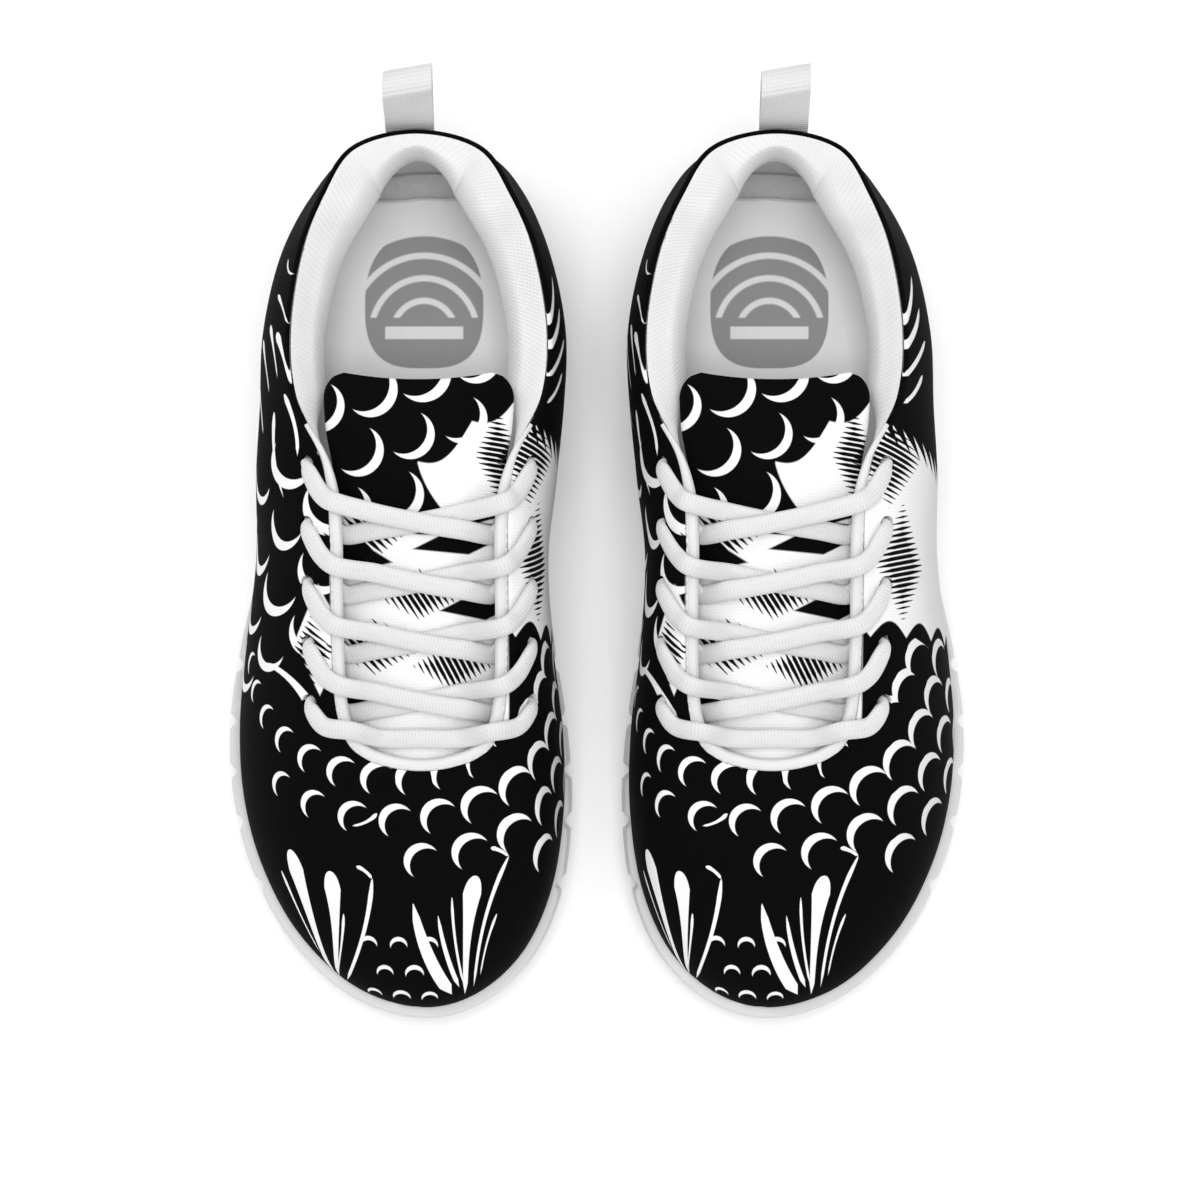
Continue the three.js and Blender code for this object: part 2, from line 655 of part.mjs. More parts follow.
// A point on the webbing sewn to the heel: x across it, v up the wall, and how far it stands out.
function onHeel(x, v, out) {
  const perColumn = face(1 / AROUND, v).x;
  return wall(x / perColumn / AROUND, v, -out);
}
function tabAnchor() {
  const levels = 3;
  const end = TAB_V - 0.8 / (COLLAR_HEIGHT - HEEL_FOAM);
  const start = end - TAB_ANCHOR / (COLLAR_HEIGHT - HEEL_FOAM);
  const half = TAB_WIDTH / 2 - GAP;
  const place = (depth) => (i, j) =>
    onHeel(TAB_ASIDE + lerp(-half, half, i / 4), lerp(start, end, j / levels), depth);
  return shell(4, levels, false, place(GAP + 2 * TAB_PLY), place(GAP));
}

function tabLoop() {
  const radius = TAB_GAP / 2 + TAB_PLY;
  const teardrop = (grow, foot) => {
    const r = radius - grow;
    const outline = new THREE.Shape();
    outline.moveTo(-(TAB_PLY - grow + 0.15), foot);
    outline.lineTo(TAB_PLY - grow + 0.15, foot);
    outline.lineTo(r, TAB_LENGTH - radius);
    outline.absarc(0, TAB_LENGTH - radius, r, 0, Math.PI, false);
    outline.closePath();
    return outline;
  };
  const band = teardrop(0, 0);
  band.holes.push(teardrop(TAB_PLY, 5));
  const loop = new THREE.ExtrudeGeometry(band, {
    depth: TAB_WIDTH,
    bevelEnabled: false,
    curveSegments: 8,
  });
  loop.translate(0, 0, -TAB_WIDTH / 2);
  // the drawing's x becomes -y, its y becomes z and its depth becomes -x; then it leans back
  loop.applyMatrix4(
    new THREE.Matrix4().makeBasis(
      new THREE.Vector3(0, -1, 0),
      new THREE.Vector3(0, 0, 1),
      new THREE.Vector3(-1, 0, 0),
    ),
  );
  loop.rotateX(THREE.MathUtils.degToRad(-TAB_LEAN));
  const foot = onHeel(TAB_ASIDE, TAB_V, TAB_PLY + GAP);
  return loop.translate(foot.x, foot.y, foot.z);
}

// ---- the sole ----

// Points round the sole, drawn in from its edge, at a height that may change along the shoe.
function soleLoop(inset, height, count = AROUND) {
  return Array.from({ length: count }, (_, k) => {
    const u = k / count;
    const p = soleEdge.getPoint(u).addScaledVector(outward(u), -inset(u));
    p.z = height(p.y);
    return p;
  });
}

// Places along y where the tread is divided; they leave the flat heel seat whole.
const GROOVES = [-118, -98, -78, -62, -46, -28, 20, 52, 84].map((y) => y * scale.y);

function outsole() {
  const slab = plate([
    soleLoop(fixed(1.2), (y) => spring(y)),
    soleLoop(fixed(0), (y) => spring(y) + TREAD / 2),
    soleLoop(fixed(0), (y) => spring(y) + TREAD),
  ]);
  const grooves = GROOVES.map((y) =>
    new THREE.BoxGeometry(2 * SOLE_WIDTH, GROOVE_WIDTH, 2 * GROOVE_DEPTH).translate(0, y, spring(y)),
  );
  const notches = GROOVES.slice(1, 6).map((y) => {
    const outerEdge = Math.max(...soleLoop(fixed(0), fixed(0), 200).filter((p) => Math.abs(p.y - y) < 4).map((p) => p.x));
    return new THREE.BoxGeometry(2 * NOTCH_DEPTH, NOTCH_WIDTH, 40).translate(outerEdge, y, 0);
  });
  return cutAway(slab, [...grooves, ...notches]);
}

function midsole() {
  const base = (y) => spring(y) + TREAD + GAP;
  const rise = (share) => (y) => lerp(base(y), featherHeight(y), share);
  return plate([
    soleLoop(fixed(3.2), base),
    soleLoop(fixed(1.6), rise(0.3)),
    soleLoop(fixed(0.8), rise(0.8)),
    soleLoop(fixed(1.4), rise(1)),
  ]);
}

// Inset of the lining's inner face from the sole's edge, at the featherline.
function insideInset(u) {
  const p = face(u, 0);
  const edge = soleEdge.getPoint(((u % 1) + 1) % 1);
  return Math.hypot(p.x - edge.x, p.y - edge.y);
}
const lastingBoard = () => {
  const inset = (u) => insideInset(u) + FABRIC + COUNTER + LINING + 5 * GAP;
  return plate([
    soleLoop(inset, (y) => featherHeight(y) + GAP),
    soleLoop(inset, (y) => featherHeight(y) + GAP + BOARD),
  ]);
};
const INSOLE_BASE = 2 * GAP + BOARD;
const insole = () => {
  const heel = (u) => 6 * (1 - smoothstep(Math.min(u, 1 - u) * LOOP, 0.4, 2.2));
  const inset = (u) =>
    insideInset(u) + FABRIC + COUNTER + LINING + 5 * GAP + INSOLE_CLEARANCE + heel(u);
  const thin = (y) => INSOLE - 0.8 * (1 - smoothstep(y, -40, 60));
  return plate([
    soleLoop(inset, (y) => featherHeight(y) + INSOLE_BASE),
    soleLoop(inset, (y) => featherHeight(y) + INSOLE_BASE + thin(y)),
  ]);
};

// ---- assembly ----
const PIECES = [
  ["outsole", outsole(), "tread"],
  ["midsole", midsole(), "sole"],
  ["lasting_board", lastingBoard(), "board"],
  ["insole", insole(), "lining"],
  ["upper", upper(), "printed_mesh"],
  ["toe_puff", toePuff(), "board"],
  ["heel_counter", heelCounter(), "board"],
  ["outer_eyestay", eyestay(false), "board"],
  ["inner_eyestay", eyestay(true), "board"],
  ["vamp_lining", vampLining(), "lining"],
  ["collar_foam", collarFoam(), "foam"],
  ["collar_lining", collarLining(), "lining"],
  ["throat_binding", throatBinding(), "lining"],
  ["tongue", tongue(), "printed_mesh"],
  ["tongue_lining", tongueLining(), "lining"],
  ["lace", lace(), "lace"],
  ["outer_aglet", aglet(-1), "aglet"],
  ["inner_aglet", aglet(1), "aglet"],
  ["pull_tab_anchor", tabAnchor(), "webbing"],
  ["pull_tab_loop", tabLoop(), "webbing"],
];

function shoe(name) {
  const group = new THREE.Group();
  for (const [piece, geometry, material] of PIECES) {
    const mesh = new THREE.Mesh(geometry, MATERIALS[material]);
    mesh.name = `${name}_${piece}`;
    group.add(mesh);
  }
  return group;
}

const left = shoe("left");
left.position.x = CENTRE_SPACING / 2;
const right = shoe("right");
right.scale.x = -1;
right.position.x = -CENTRE_SPACING / 2;

const pair = new THREE.Group();
pair.add(left, right);

// The origin is the middle of the pair's footprint, on the floor.
pair.updateMatrixWorld(true);
const box = new THREE.Box3().setFromObject(pair, true);
const middle = (box.min.y + box.max.y) / 2;
left.position.y = -middle;
right.position.y = -middle;

export default pair;
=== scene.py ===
"""Visual model of a pair of lace-up mesh training shoes, built round the packed CAD frame."""
import math
from functools import reduce

import bpy
import numpy as np
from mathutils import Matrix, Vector


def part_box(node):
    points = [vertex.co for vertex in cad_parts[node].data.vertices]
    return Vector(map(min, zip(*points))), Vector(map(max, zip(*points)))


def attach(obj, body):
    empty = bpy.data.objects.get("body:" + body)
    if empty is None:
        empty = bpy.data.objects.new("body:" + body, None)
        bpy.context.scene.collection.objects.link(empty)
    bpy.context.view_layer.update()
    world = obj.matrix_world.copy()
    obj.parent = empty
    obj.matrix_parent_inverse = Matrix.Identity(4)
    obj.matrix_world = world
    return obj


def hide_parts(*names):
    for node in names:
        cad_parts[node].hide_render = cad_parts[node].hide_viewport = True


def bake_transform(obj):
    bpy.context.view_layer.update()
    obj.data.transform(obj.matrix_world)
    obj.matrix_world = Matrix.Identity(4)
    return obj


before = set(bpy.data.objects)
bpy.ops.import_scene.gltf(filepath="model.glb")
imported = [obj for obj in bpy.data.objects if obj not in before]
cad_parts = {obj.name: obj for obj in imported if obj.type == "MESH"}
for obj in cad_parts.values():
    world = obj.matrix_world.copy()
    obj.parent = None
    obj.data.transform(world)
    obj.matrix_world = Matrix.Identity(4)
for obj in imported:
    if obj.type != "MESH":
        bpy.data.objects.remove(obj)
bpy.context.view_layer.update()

bl_info = {
    "name": "Cheer Shoe Workshop",
    "version": (1, 0, 0),
    "blender": (4, 5, 0),
    "location": "View3D > Sidebar > Shoes",
    "description": "Builds a pair of printed mesh lace-up shoes piece by piece",
    "category": "Object",
}

# ---- the last, in a shoe's own frame: x to its outer side, y from toe to heel, z up, millimetres ----
HALF_SPACING = 54.0
TOE_TIP = -140.0
COLLAR_HEIGHT = 97.0
TREAD = 4.0
HEEL_FOAM, BALL_FOAM = 30.0, 20.0
TOE_SPRING, SPRING_START = 7.0, -55.0
GAP = 0.3  # between neighbouring layers
FABRIC, STAY, COUNTER, PUFF, LINING = 1.6, 0.9, 1.3, 0.9, 0.9  # thicknesses
COLLAR_PAD, HEEL_PINCH = 11.0, 1.5  # collar foam at its thickest and at the back seam
BOARD, INSOLE, INSOLE_CLEARANCE = 1.4, 4.0, 1.9
# where the tread's cross grooves lie along the shoe
GROOVES = (-118.0, -98.0, -78.0, -62.0, -46.0, -28.0, 20.0, 52.0, 84.0)
# sole edge on the outer and inner side, ledge left on each, top line, handles of the wall's curve
STATIONS = (
    ((0, 135), (0, 135), (4, 4), (0, 133.5, 97), (5, 20), (-4, -22)),
    ((23, 130.3), (-21, 130.6), (3.5, 3), (19.5, 128.6, 96), (6, 20), (-2, -21)),
    ((34.8, 117), (-31.5, 117.5), (3, 2), (29.5, 114.5, 91.5), (7, 18), (1, -19)),
    ((43, 97), (-37.5, 97), (3, 1.5), (36.3, 98, 84.5), (8, 17), (6, -16)),
    ((46.5, 74), (-40, 75), (3, 1.5), (40.2, 75, 78), (10, 17), (9, -15)),
    ((47.5, 50), (-39, 51), (3, 1.5), (38.6, 54, 78.5), (11, 18), (11, -16)),
    ((49.5, 26), (-38, 27), (3, 1.5), (29.6, 35, 81.5), (11, 19), (21, -9)),
    ((53.5, 2), (-38, 3), (3, 1.5), (27.3, 13, 81), (6, 19), (20, -8)),
    ((59, -22), (-40.5, -22), (4, 1.5), (27.3, -14, 74), (4, 19), (20, -7)),
    ((62.5, -46), (-44.5, -48), (4.3, 1.5), (26.5, -39, 66.5), (2, 18), (19, -5)),
    ((61.5, -70), (-46, -74), (4.3, 2.5), (23, -51.5, 63), (1.5, 17), (20, -4)),
    ((55.5, -93), (-43, -100), (4.3, 3.5), (17, -57, 61.3), (1, 17), (24, -4)),
    ((43.5, -115), (-33.5, -121.5), (4.3, 4), (9.5, -59.6, 60.4), (1, 17), (31, -6)),
    ((25, -132.5), (-17, -136), (4.3, 4.3), (4, -60.5, 60), (1, 17), (37, -8)),
    ((3, -140), (3, -140), (4.3, 4.3), (0, -60.7, 60), (1, 17), (39, -9)),
)
INNER_LOW, INNER_HIGH = 0.8, 0.62  # the inner side swells less than the outer one
TOE_ROW = len(STATIONS) - 1
LOOP = 2 * TOE_ROW
# the CAD grid has this many columns round the shoe; the collar lining ends at this one on each side
AROUND = 42
COLLAR_END = 9

EYELET_ROWS, EYELET_PITCH, EYELET_FIRST, EYELET_OUT = 5, 18.2, -39.3, 34.2
EYELET_RADIUS = 2.6
EDGE_OUT = 27.3  # the throat's edge, from the centre line
BINDING_WIDTH, BINDING_PROUD = 3.2, 0.4
LACE_THICK = 2.8
NECK = 0.6  # share of the lace's width that is left in an eyelet
LIFT = LACE_THICK / 2 + 0.6  # of the lace's middle over the upper or the tongue
UNDER = FABRIC + STAY + 3 * GAP + LACE_THICK / 2 + 0.3  # of its middle below the outer face
STACK = LACE_THICK + 0.55  # between two crossing strands
LACE_SIDES = 18
TIP_LENGTH, TIP_RADIUS, TIP_SIDES = 18.0, 1.45, 20

TONGUE_HALF, TONGUE_PAD, TONGUE_DROP, TONGUE_LINING, TONGUE_GAP = 30.0, 4.2, 10.0, 1.0, 0.4
# height of the tongue's top face and half its width, along the shoe
TONGUE_LINE = ((-76, 53.6), (-60, 56.4), (-40, 62.6), (-14, 71.4), (14, 79.8), (30, 84.8), (45, 87.5), (61, 90))
TONGUE_HALVES = ((-76, 20), (-60, 24), (-45, 29), (-20, 30), (5, 30), (15, 28), (30, 26.2), (45, 28.4), (61, 29.2))

TAB_WIDTH, TAB_PLY, TAB_LENGTH, TAB_GAP, TAB_LEAN = 15.0, 1.2, 27.0, 7.0, 32.0
TAB_V, TAB_ANCHOR, TAB_ASIDE = 0.9, 16.0, 2.2
TAB_SIDES = 40

# the stage, in metres: the camera looks straight down at a point a little to the toe side of the middle
CAMERA_HEIGHT, CAMERA_LENS, VIEW_MIDDLE = 1.5, 140.5, -7.8
FLOOR_HALF, FLOOR_POINTS = 6.0, 9
WORLD_LIGHT = 0.62
# name, place, watts and width of each square light; all aim at the middle of the shoes
LIGHT_AIM = (0, 0, 0.03)
LIGHTS = (
    ("top_light", (0, 0.05, 2.0), 22, 0.9),
    ("key_light", (-0.9, 0.9, 1.5), 7, 1.2),
    ("fill_light", (0.9, -0.5, 1.4), 5, 1.4),
)

# how far the pair's frame lies along y from the shoe's own
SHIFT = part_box("left_outsole")[0][1] * 1000 - TOE_TIP
SIDES = {1: "left", -1: "right"}


# ---- sizes and colours a user would change ----
class ShoeSizes(bpy.types.PropertyGroup):
    lace_width: bpy.props.FloatProperty(
        name="Lace width", description="Width of the flat lace", default=0.0062, unit="LENGTH"
    )
    stitch_length: bpy.props.FloatProperty(
        name="Stitch length", description="Length of one stitch of sewing thread", default=0.0024, unit="LENGTH"
    )
    stitch_width: bpy.props.FloatProperty(
        name="Thread width", description="Thickness of the sewing thread", default=0.0006, unit="LENGTH"
    )
    badge_width: bpy.props.FloatProperty(
        name="Badge width", description="Width of the badge printed on the insole", default=0.037, unit="LENGTH"
    )


def colour(name, description, default):
    """A colour property with its default."""
    return bpy.props.FloatVectorProperty(
        name=name, description=description, subtype="COLOR", size=3, min=0, max=1, default=default
    )


class ShoeColours(bpy.types.PropertyGroup):
    ink: colour("Ink", "Dark ink of the printed mesh", (0.0015, 0.0015, 0.0017))
    ground: colour("Ground", "Bare cloth between the inked shapes", (0.84, 0.84, 0.845))
    sole: colour("Sole", "Moulded sole", (0.66, 0.66, 0.665))
    lining: colour("Lining", "Collar and vamp lining", (0.72, 0.72, 0.725))
    insole: colour("Insole", "Insole cover", (0.76, 0.76, 0.765))
    badge: colour("Badge", "Badge printed on the insole", (0.24, 0.24, 0.245))
    lace: colour("Lace", "Laces", (0.66, 0.66, 0.665))
    webbing: colour("Webbing", "Heel pull tab", (0.68, 0.68, 0.685))


# ---- curves and the shape of the last ----
def span(a, b, c, d, w):
    """The stretch of a smooth curve from b to c: (2b + (c-a)w + (2a-5b+4c-d)w^2 + (3b-a-3c+d)w^3) / 2."""
    return 0.5 * (2 * b + (c - a) * w + (2 * a - 5 * b + 4 * c - d) * w**2 + (3 * b - a - 3 * c + d) * w**3)


def closed_curve(points):
    """Smooth loop through points."""
    pts = np.asarray(points, float)
    count = len(pts)

    def at(t):
        t = (np.asarray(t, float) % 1.0) * count
        k = np.floor(t).astype(int)
        return span(*(pts[(k + step) % count] for step in (-1, 0, 1, 2)), (t - k)[..., None])

    return at


def open_curve(points, samples):
    """Smooth path through points, with the same spans as the loop and its ends carried on straight."""
    pts = np.asarray(points, float)
    pts = np.concatenate([[2 * pts[0] - pts[1]], pts, [2 * pts[-1] - pts[-2]]])
    spans = len(pts) - 3
    t = np.linspace(0, spans, samples)
    k = np.minimum(np.floor(t).astype(int), spans - 1)
    return span(*(pts[k + step] for step in range(4)), (t - k)[:, None])


def line_through(pairs):
    """A smooth value along y through (y, value) pairs."""
    curve = open_curve(np.asarray(pairs, float), 400)
    return lambda y: np.interp(y, curve[:, 0], curve[:, 1])


def smooth(x, low, high):
    """0 below low, 1 above high and 3w^2 - 2w^3 between."""
    w = np.clip((np.asarray(x, float) - low) / (high - low), 0, 1)
    return w * w * (3 - 2 * w)


def unit(vectors):
    """Vectors over their own lengths."""
    return vectors / np.maximum(np.linalg.norm(vectors, axis=-1, keepdims=True), 1e-9)


def spring(y):
    """How far the underside lifts off the floor: grows as the square of the way to the toe."""
    return TOE_SPRING * np.clip((np.asarray(y, float) - SPRING_START) / (TOE_TIP - SPRING_START), 0, 1) ** 2


def feather(y):
    """Height of the midsole's top face."""
    return spring(y) + BALL_FOAM + (HEEL_FOAM - BALL_FOAM) * smooth(y, -60, 70)


def loop_rows():
    """The stations once round the loop: heel, outer side, toe, inner side."""
    for k in range(LOOP):
        row = k if k <= TOE_ROW else LOOP - k
        yield k > TOE_ROW, STATIONS[row]


sole_edge = closed_curve([(s[1] if inner else s[0]) + (0,) for inner, s in loop_rows()])


def outward(u):
    """Level unit vector out of the sole's edge."""
    t = unit(sole_edge(np.asarray(u) + 1e-4) - sole_edge(np.asarray(u) - 1e-4))
    return np.stack([-t[..., 1], t[..., 0], np.zeros_like(t[..., 0])], -1)


def wall_curves():
    """The four loops whose blend makes the wall: foot, low handle, high handle and top line."""
    foot, low, high, top = [], [], [], []
    for k, (inner, (_, _, ledge, rim, swell, roll)) in enumerate(loop_rows()):
        out = outward(k / LOOP)
        base = sole_edge(k / LOOP) - out * ledge[1 if inner else 0]
        base[2] = feather(base[1]) + GAP
        edge = np.array([-rim[0] if inner else rim[0], rim[1], rim[2]], float)
        share = INNER_HIGH if inner and roll[0] > 0 and rim[0] > 20 else 1
        foot.append(base)
        low.append(base + out * swell[0] * (INNER_LOW if inner else 1) + [0, 0, swell[1]])
        high.append(edge + out * roll[0] * share + [0, 0, roll[1]])
        top.append(edge)
    return [closed_curve(loop) for loop in (foot, low, high, top)]


WALL = wall_curves()


def face(u, v):
    """Outer face of the upper: p = a w^3 + 3 b w^2 v + 3 c w v^2 + d v^3 with w = 1 - v, u round, v up."""
    a, b, c, d = (curve(u) for curve in WALL)
    v = np.asarray(v, float)[..., None]
    w = 1 - v
    return a * w**3 + 3 * b * w * w * v + 3 * c * w * v * v + d * v**3


def face_normal(u, v):
    """Unit vector out of the outer face."""
    u, v = np.broadcast_arrays(np.asarray(u, float), np.asarray(v, float))
    along = face(u + 1e-3, v) - face(u - 1e-3, v)
    up = face(u, np.minimum(v + 1e-3, 1)) - face(u, np.maximum(v - 1e-3, 0))
    return unit(np.cross(up, along))


def wall(u, v, depth=0.0):
    """The point a depth inside the outer face."""
    return face(u, v) - face_normal(u, v) * np.asarray(depth, float)[..., None]


def locate(x, y):
    """The (u, v) of the outer face over a point in plan, by Newton's steps."""
    u, v = (0.73 if x < 0 else 0.27), 0.85
    for _ in range(40):
        p = face(u, v)[:2]
        du = (face(u + 1e-4, v)[:2] - p) / 1e-4
        dv = (p - face(u, v - 1e-4)[:2]) / 1e-4
        step = np.linalg.solve(np.stack([du, dv], 1), np.array([x, y]) - p)
        u, v = u + np.clip(step[0], -0.03, 0.03), min(max(v + np.clip(step[1], -0.1, 0.1), 0.3), 1.0)
    return float(u), float(v)


def seat(u):
    """Place of u along the shoe counted in stations from the heel, the same on both sides."""
    u = np.asarray(u, float) % 1.0
    return np.minimum(u, 1 - u) * LOOP


PAD_DEPTH = FABRIC + COUNTER + 2 * GAP


def pad_thickness(u, v):
    """Collar foam: full round the ankle, none at the throat, pinched at the back seam."""
    row = seat(u)
    along = COLLAR_PAD * (1 - smooth(row, 4.9, 6))
    pinch = HEEL_PINCH / COLLAR_PAD + (1 - HEEL_PINCH / COLLAR_PAD) * smooth(row, 0, 1.0)
    rise = smooth(v, 0.42, 0.78) * (1 - smooth(v, 0.88, 1.06))
    return 0.6 + along * pinch * rise


# ---- meshes ----
def named(side, part):
    """A name with its shoe in front."""
    return f"{SIDES[side]}_{part}"


def place(points, side):
    """From a shoe's frame in millimetres to the pair's frame in metres; side is 1 for left and -1 for right."""
    p = np.asarray(points, float)
    return np.stack([side * (HALF_SPACING + p[..., 0]), p[..., 1] + SHIFT, p[..., 2]], -1) * 0.001


def faces_of(index, closed=False):
    """The four corners of each face of a grid; closed joins its last row to its first."""
    near = index if closed else index[:-1]
    far = np.roll(index, -1, 0) if closed else index[1:]
    return np.stack([near[:, :-1], far[:, :-1], far[:, 1:], near[:, 1:]], -1)


class Skin:
    """Grids of points that weld along their shared edges into one closed mesh."""

    def __init__(self):
        self.points, self.quads, self.uvs, self.count = [], [], [], 0

    def add(self, grid, uv=None, closed=False, keep=None):
        """A grid of quads, of which keep leaves some out."""
        grid = np.asarray(grid, float)
        index = np.arange(grid.shape[0] * grid.shape[1]).reshape(grid.shape[:2]) + self.count
        quads = faces_of(index, closed)
        self.points.append(grid.reshape(-1, 3))
        self.uvs.append(np.zeros((grid.shape[0] * grid.shape[1], 2)) if uv is None else np.asarray(uv).reshape(-1, 2))
        self.quads.append(quads[keep] if keep is not None else quads.reshape(-1, 4))
        self.count += grid.shape[0] * grid.shape[1]
        return index

    def walls(self, outer, inner, keep, closed):
        """Rim faces between two grids of the same size wherever a kept face borders a missing one."""
        shift = inner[0, 0] - outer[0, 0]
        corners = faces_of(outer, closed)
        padded = np.pad(keep, ((1, 1), (1, 1)))
        if closed:
            padded[0, 1:-1], padded[-1, 1:-1] = keep[-1], keep[0]
        beside = (padded[1:-1, :-2], padded[2:, 1:-1], padded[1:-1, 2:], padded[:-2, 1:-1])
        for k, neighbour in enumerate(beside):
            bare = keep & ~neighbour
            a, b = corners[bare][:, k], corners[bare][:, (k + 1) % 4]
            self.quads.append(np.stack([b, a, a + shift, b + shift], -1))

    def build(self, name, side, sharp=40):
        """Welds, turns the faces outwards and makes the object."""
        points = place(np.concatenate(self.points), side)
        quads, uvs = np.concatenate(self.quads), np.concatenate(self.uvs)
        name = named(side, name)
        _, first, inverse = np.unique(np.round(points, 7), axis=0, return_index=True, return_inverse=True)
        inverse = inverse.reshape(-1)
        welded = inverse[quads]
        after = np.roll(welded, -1, 1)
        distinct = (welded != after).sum(1)
        solid = distinct >= 3
        quads, welded, distinct = quads[solid], welded[solid], distinct[solid]
        verts = points[first]
        a, b, c, d = (verts[welded[:, k]] for k in range(4))
        volume = (a * np.cross(b, c)).sum() + (a * np.cross(c, d)).sum()
        if volume < 0:
            quads, welded = quads[:, ::-1], welded[:, ::-1]
        take = welded != np.roll(welded, -1, 1)
        take[distinct == 4] = True
        sizes = take.sum(1)
        corner_vertex, corner_uv = welded[take], uvs[quads[take]]
        faces = np.split(corner_vertex, np.cumsum(sizes)[:-1])
        mesh = bpy.data.meshes.new(name)
        mesh.from_pydata(verts.tolist(), [], [f.tolist() for f in faces])
        layer = mesh.uv_layers.new(name="UVMap")
        layer.data.foreach_set("uv", corner_uv.astype(np.float32).ravel())
        mesh.polygons.foreach_set("use_smooth", np.ones(len(mesh.polygons), bool))
        mesh.set_sharp_from_angle(angle=math.radians(sharp))
        if mesh.validate(clean_customdata=False):
            raise RuntimeError(f"{name} has faulty faces")
        obj = bpy.data.objects.new(name, mesh)
        bpy.context.collection.objects.link(obj)
        return obj


def shell(name, side, near, far, closed=False, uv=None, keep=None, sharp=40):
    """A wall of cloth between two grids of points of the same size."""
    skin = Skin()
    if keep is None:
        keep = np.ones((near.shape[0] - (0 if closed else 1), near.shape[1] - 1), bool)
    outer = skin.add(near, uv, closed, keep)
    inner = skin.add(far, uv, closed, keep)
    skin.quads[-1] = skin.quads[-1][:, ::-1]
    skin.walls(outer, inner, keep, closed)
    return skin.build(name, side, sharp)


def finish_piece(obj, side, slot, kind, *nodes, rides=True):
    """Gives a piece its material, slot and the CAD nodes that it stands for; it rides the shoe unless blended."""
    obj.data.materials.append(finish_for(kind))
    if rides:
        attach(obj, named(side, "shoe"))
    if nodes:
        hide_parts(*(named(side, node) for node in nodes))


# ---- shader maths ----
class Value:
    """A shader socket that takes part in Python expressions; each operator adds its Math node."""

    def __init__(self, finish, node, output=0):
        self.finish, self.node = finish, node
        self.socket = node.outputs[output]

    def out(self, output):
        """Another output of the same node."""
        return Value(self.finish, self.node, output)

    def step(self, edge, soft):
        """0 below edge - soft, 1 above edge + soft."""
        return ((self - edge) * (0.5 / soft) + 0.5).low(1).high(0)


def math_method(operation, swapped=False):
    """A method that adds one Math node; swapped puts the method's own value last."""

    def method(self, *others):
        values = (*others, self) if swapped else (self, *others)
        return self.finish.node("ShaderNodeMath", {"operation": operation}, dict(enumerate(values)))

    return method


# y.angle(x) is the angle of the direction whose sine part is y and whose cosine part is x
VALUE_METHODS = {
    "__add__": "ADD", "__radd__": "ADD", "__sub__": "SUBTRACT", "__mul__": "MULTIPLY", "__rmul__": "MULTIPLY",
    "__truediv__": "DIVIDE", "__pow__": "POWER", "abs": "ABSOLUTE", "floor": "FLOOR", "fract": "FRACT",
    "sin": "SINE", "sqrt": "SQRT", "angle": "ARCTAN2", "low": "MINIMUM", "high": "MAXIMUM",
}
for method_name, math_operation in VALUE_METHODS.items():
    setattr(Value, method_name, math_method(math_operation))
Value.__rsub__ = math_method("SUBTRACT", swapped=True)


class Finish:
    """A material under construction."""

    def __init__(self, name, display):
        self.material = bpy.data.materials.new(name)
        self.material.use_nodes = True
        self.material.diffuse_color = (*display, 1)
        self.tree = self.material.node_tree
        self.shader = self.tree.nodes["Principled BSDF"]
        self.shader.inputs["Base Color"].default_value = (*display, 1)

    def node(self, kind, settings=None, inputs=None):
        """Any node: its settings first, then the values or links of its sockets."""
        made = self.tree.nodes.new(kind)
        for key, value in (settings or {}).items():
            setattr(made, key, value)
        for key, value in (inputs or {}).items():
            self.feed(made.inputs[key], value)
        return Value(self, made)

    def feed(self, socket, value):
        """Links a value to a socket, or sets the socket to a plain number or colour."""
        if isinstance(value, Value):
            self.tree.links.new(value.socket, socket)
        elif hasattr(value, "__len__"):
            socket.default_value = (*value, 1)[: len(socket.default_value)]
        else:
            socket.default_value = value

    def set(self, **values):
        """Inputs of the surface shader, by socket name with spaces as underscores."""
        for key, value in values.items():
            self.feed(self.shader.inputs[key.replace("_", " ")], value)

    def object_place(self):
        """Object coordinates as one vector."""
        return self.node("ShaderNodeTexCoord").out("Object")

    def axes(self, vector):
        """The first two axes of a vector, in millimetres."""
        parts = self.node("ShaderNodeSeparateXYZ", None, {0: vector})
        return parts.out(0) * 1000, parts.out(1) * 1000

    def cloth_axes(self):
        """The piece's own UV map as two values, in millimetres."""
        return self.axes(self.node("ShaderNodeUVMap", {"uv_map": "UVMap"}))

    def combine(self, x, y, z=0.0):
        return self.node("ShaderNodeCombineXYZ", None, {0: x, 1: y, 2: z})

    def noise(self, vector, scale, detail=2.0):
        """Soft noise from 0 to 1."""
        return self.node("ShaderNodeTexNoise", None, {"Vector": vector, "Scale": scale, "Detail": detail})

    def chance(self, x, y, seed=0.0):
        """A number from 0 to 1 that is the same all over a cell."""
        return self.node(
            "ShaderNodeTexWhiteNoise", {"noise_dimensions": "3D"}, {"Vector": self.combine(x, y, seed)}
        )

    def mix(self, share, first, second):
        """Blends two colours."""
        mixed = self.node("ShaderNodeMix", {"data_type": "RGBA"}, {0: share, 6: first, 7: second})
        return mixed.out(2)

    def bump(self, height, distance_mm, strength=1.0):
        """Relief from a height field of 0 to 1."""
        made = self.node(
            "ShaderNodeBump", None, {"Height": height, "Distance": distance_mm * 0.001, "Strength": strength}
        )
        self.set(Normal=made)


def darker(tint, share):
    """A colour times a share."""
    return tuple(c * share for c in tint)


def union(marks):
    """The highest of several marks."""
    return reduce(Value.high, marks)


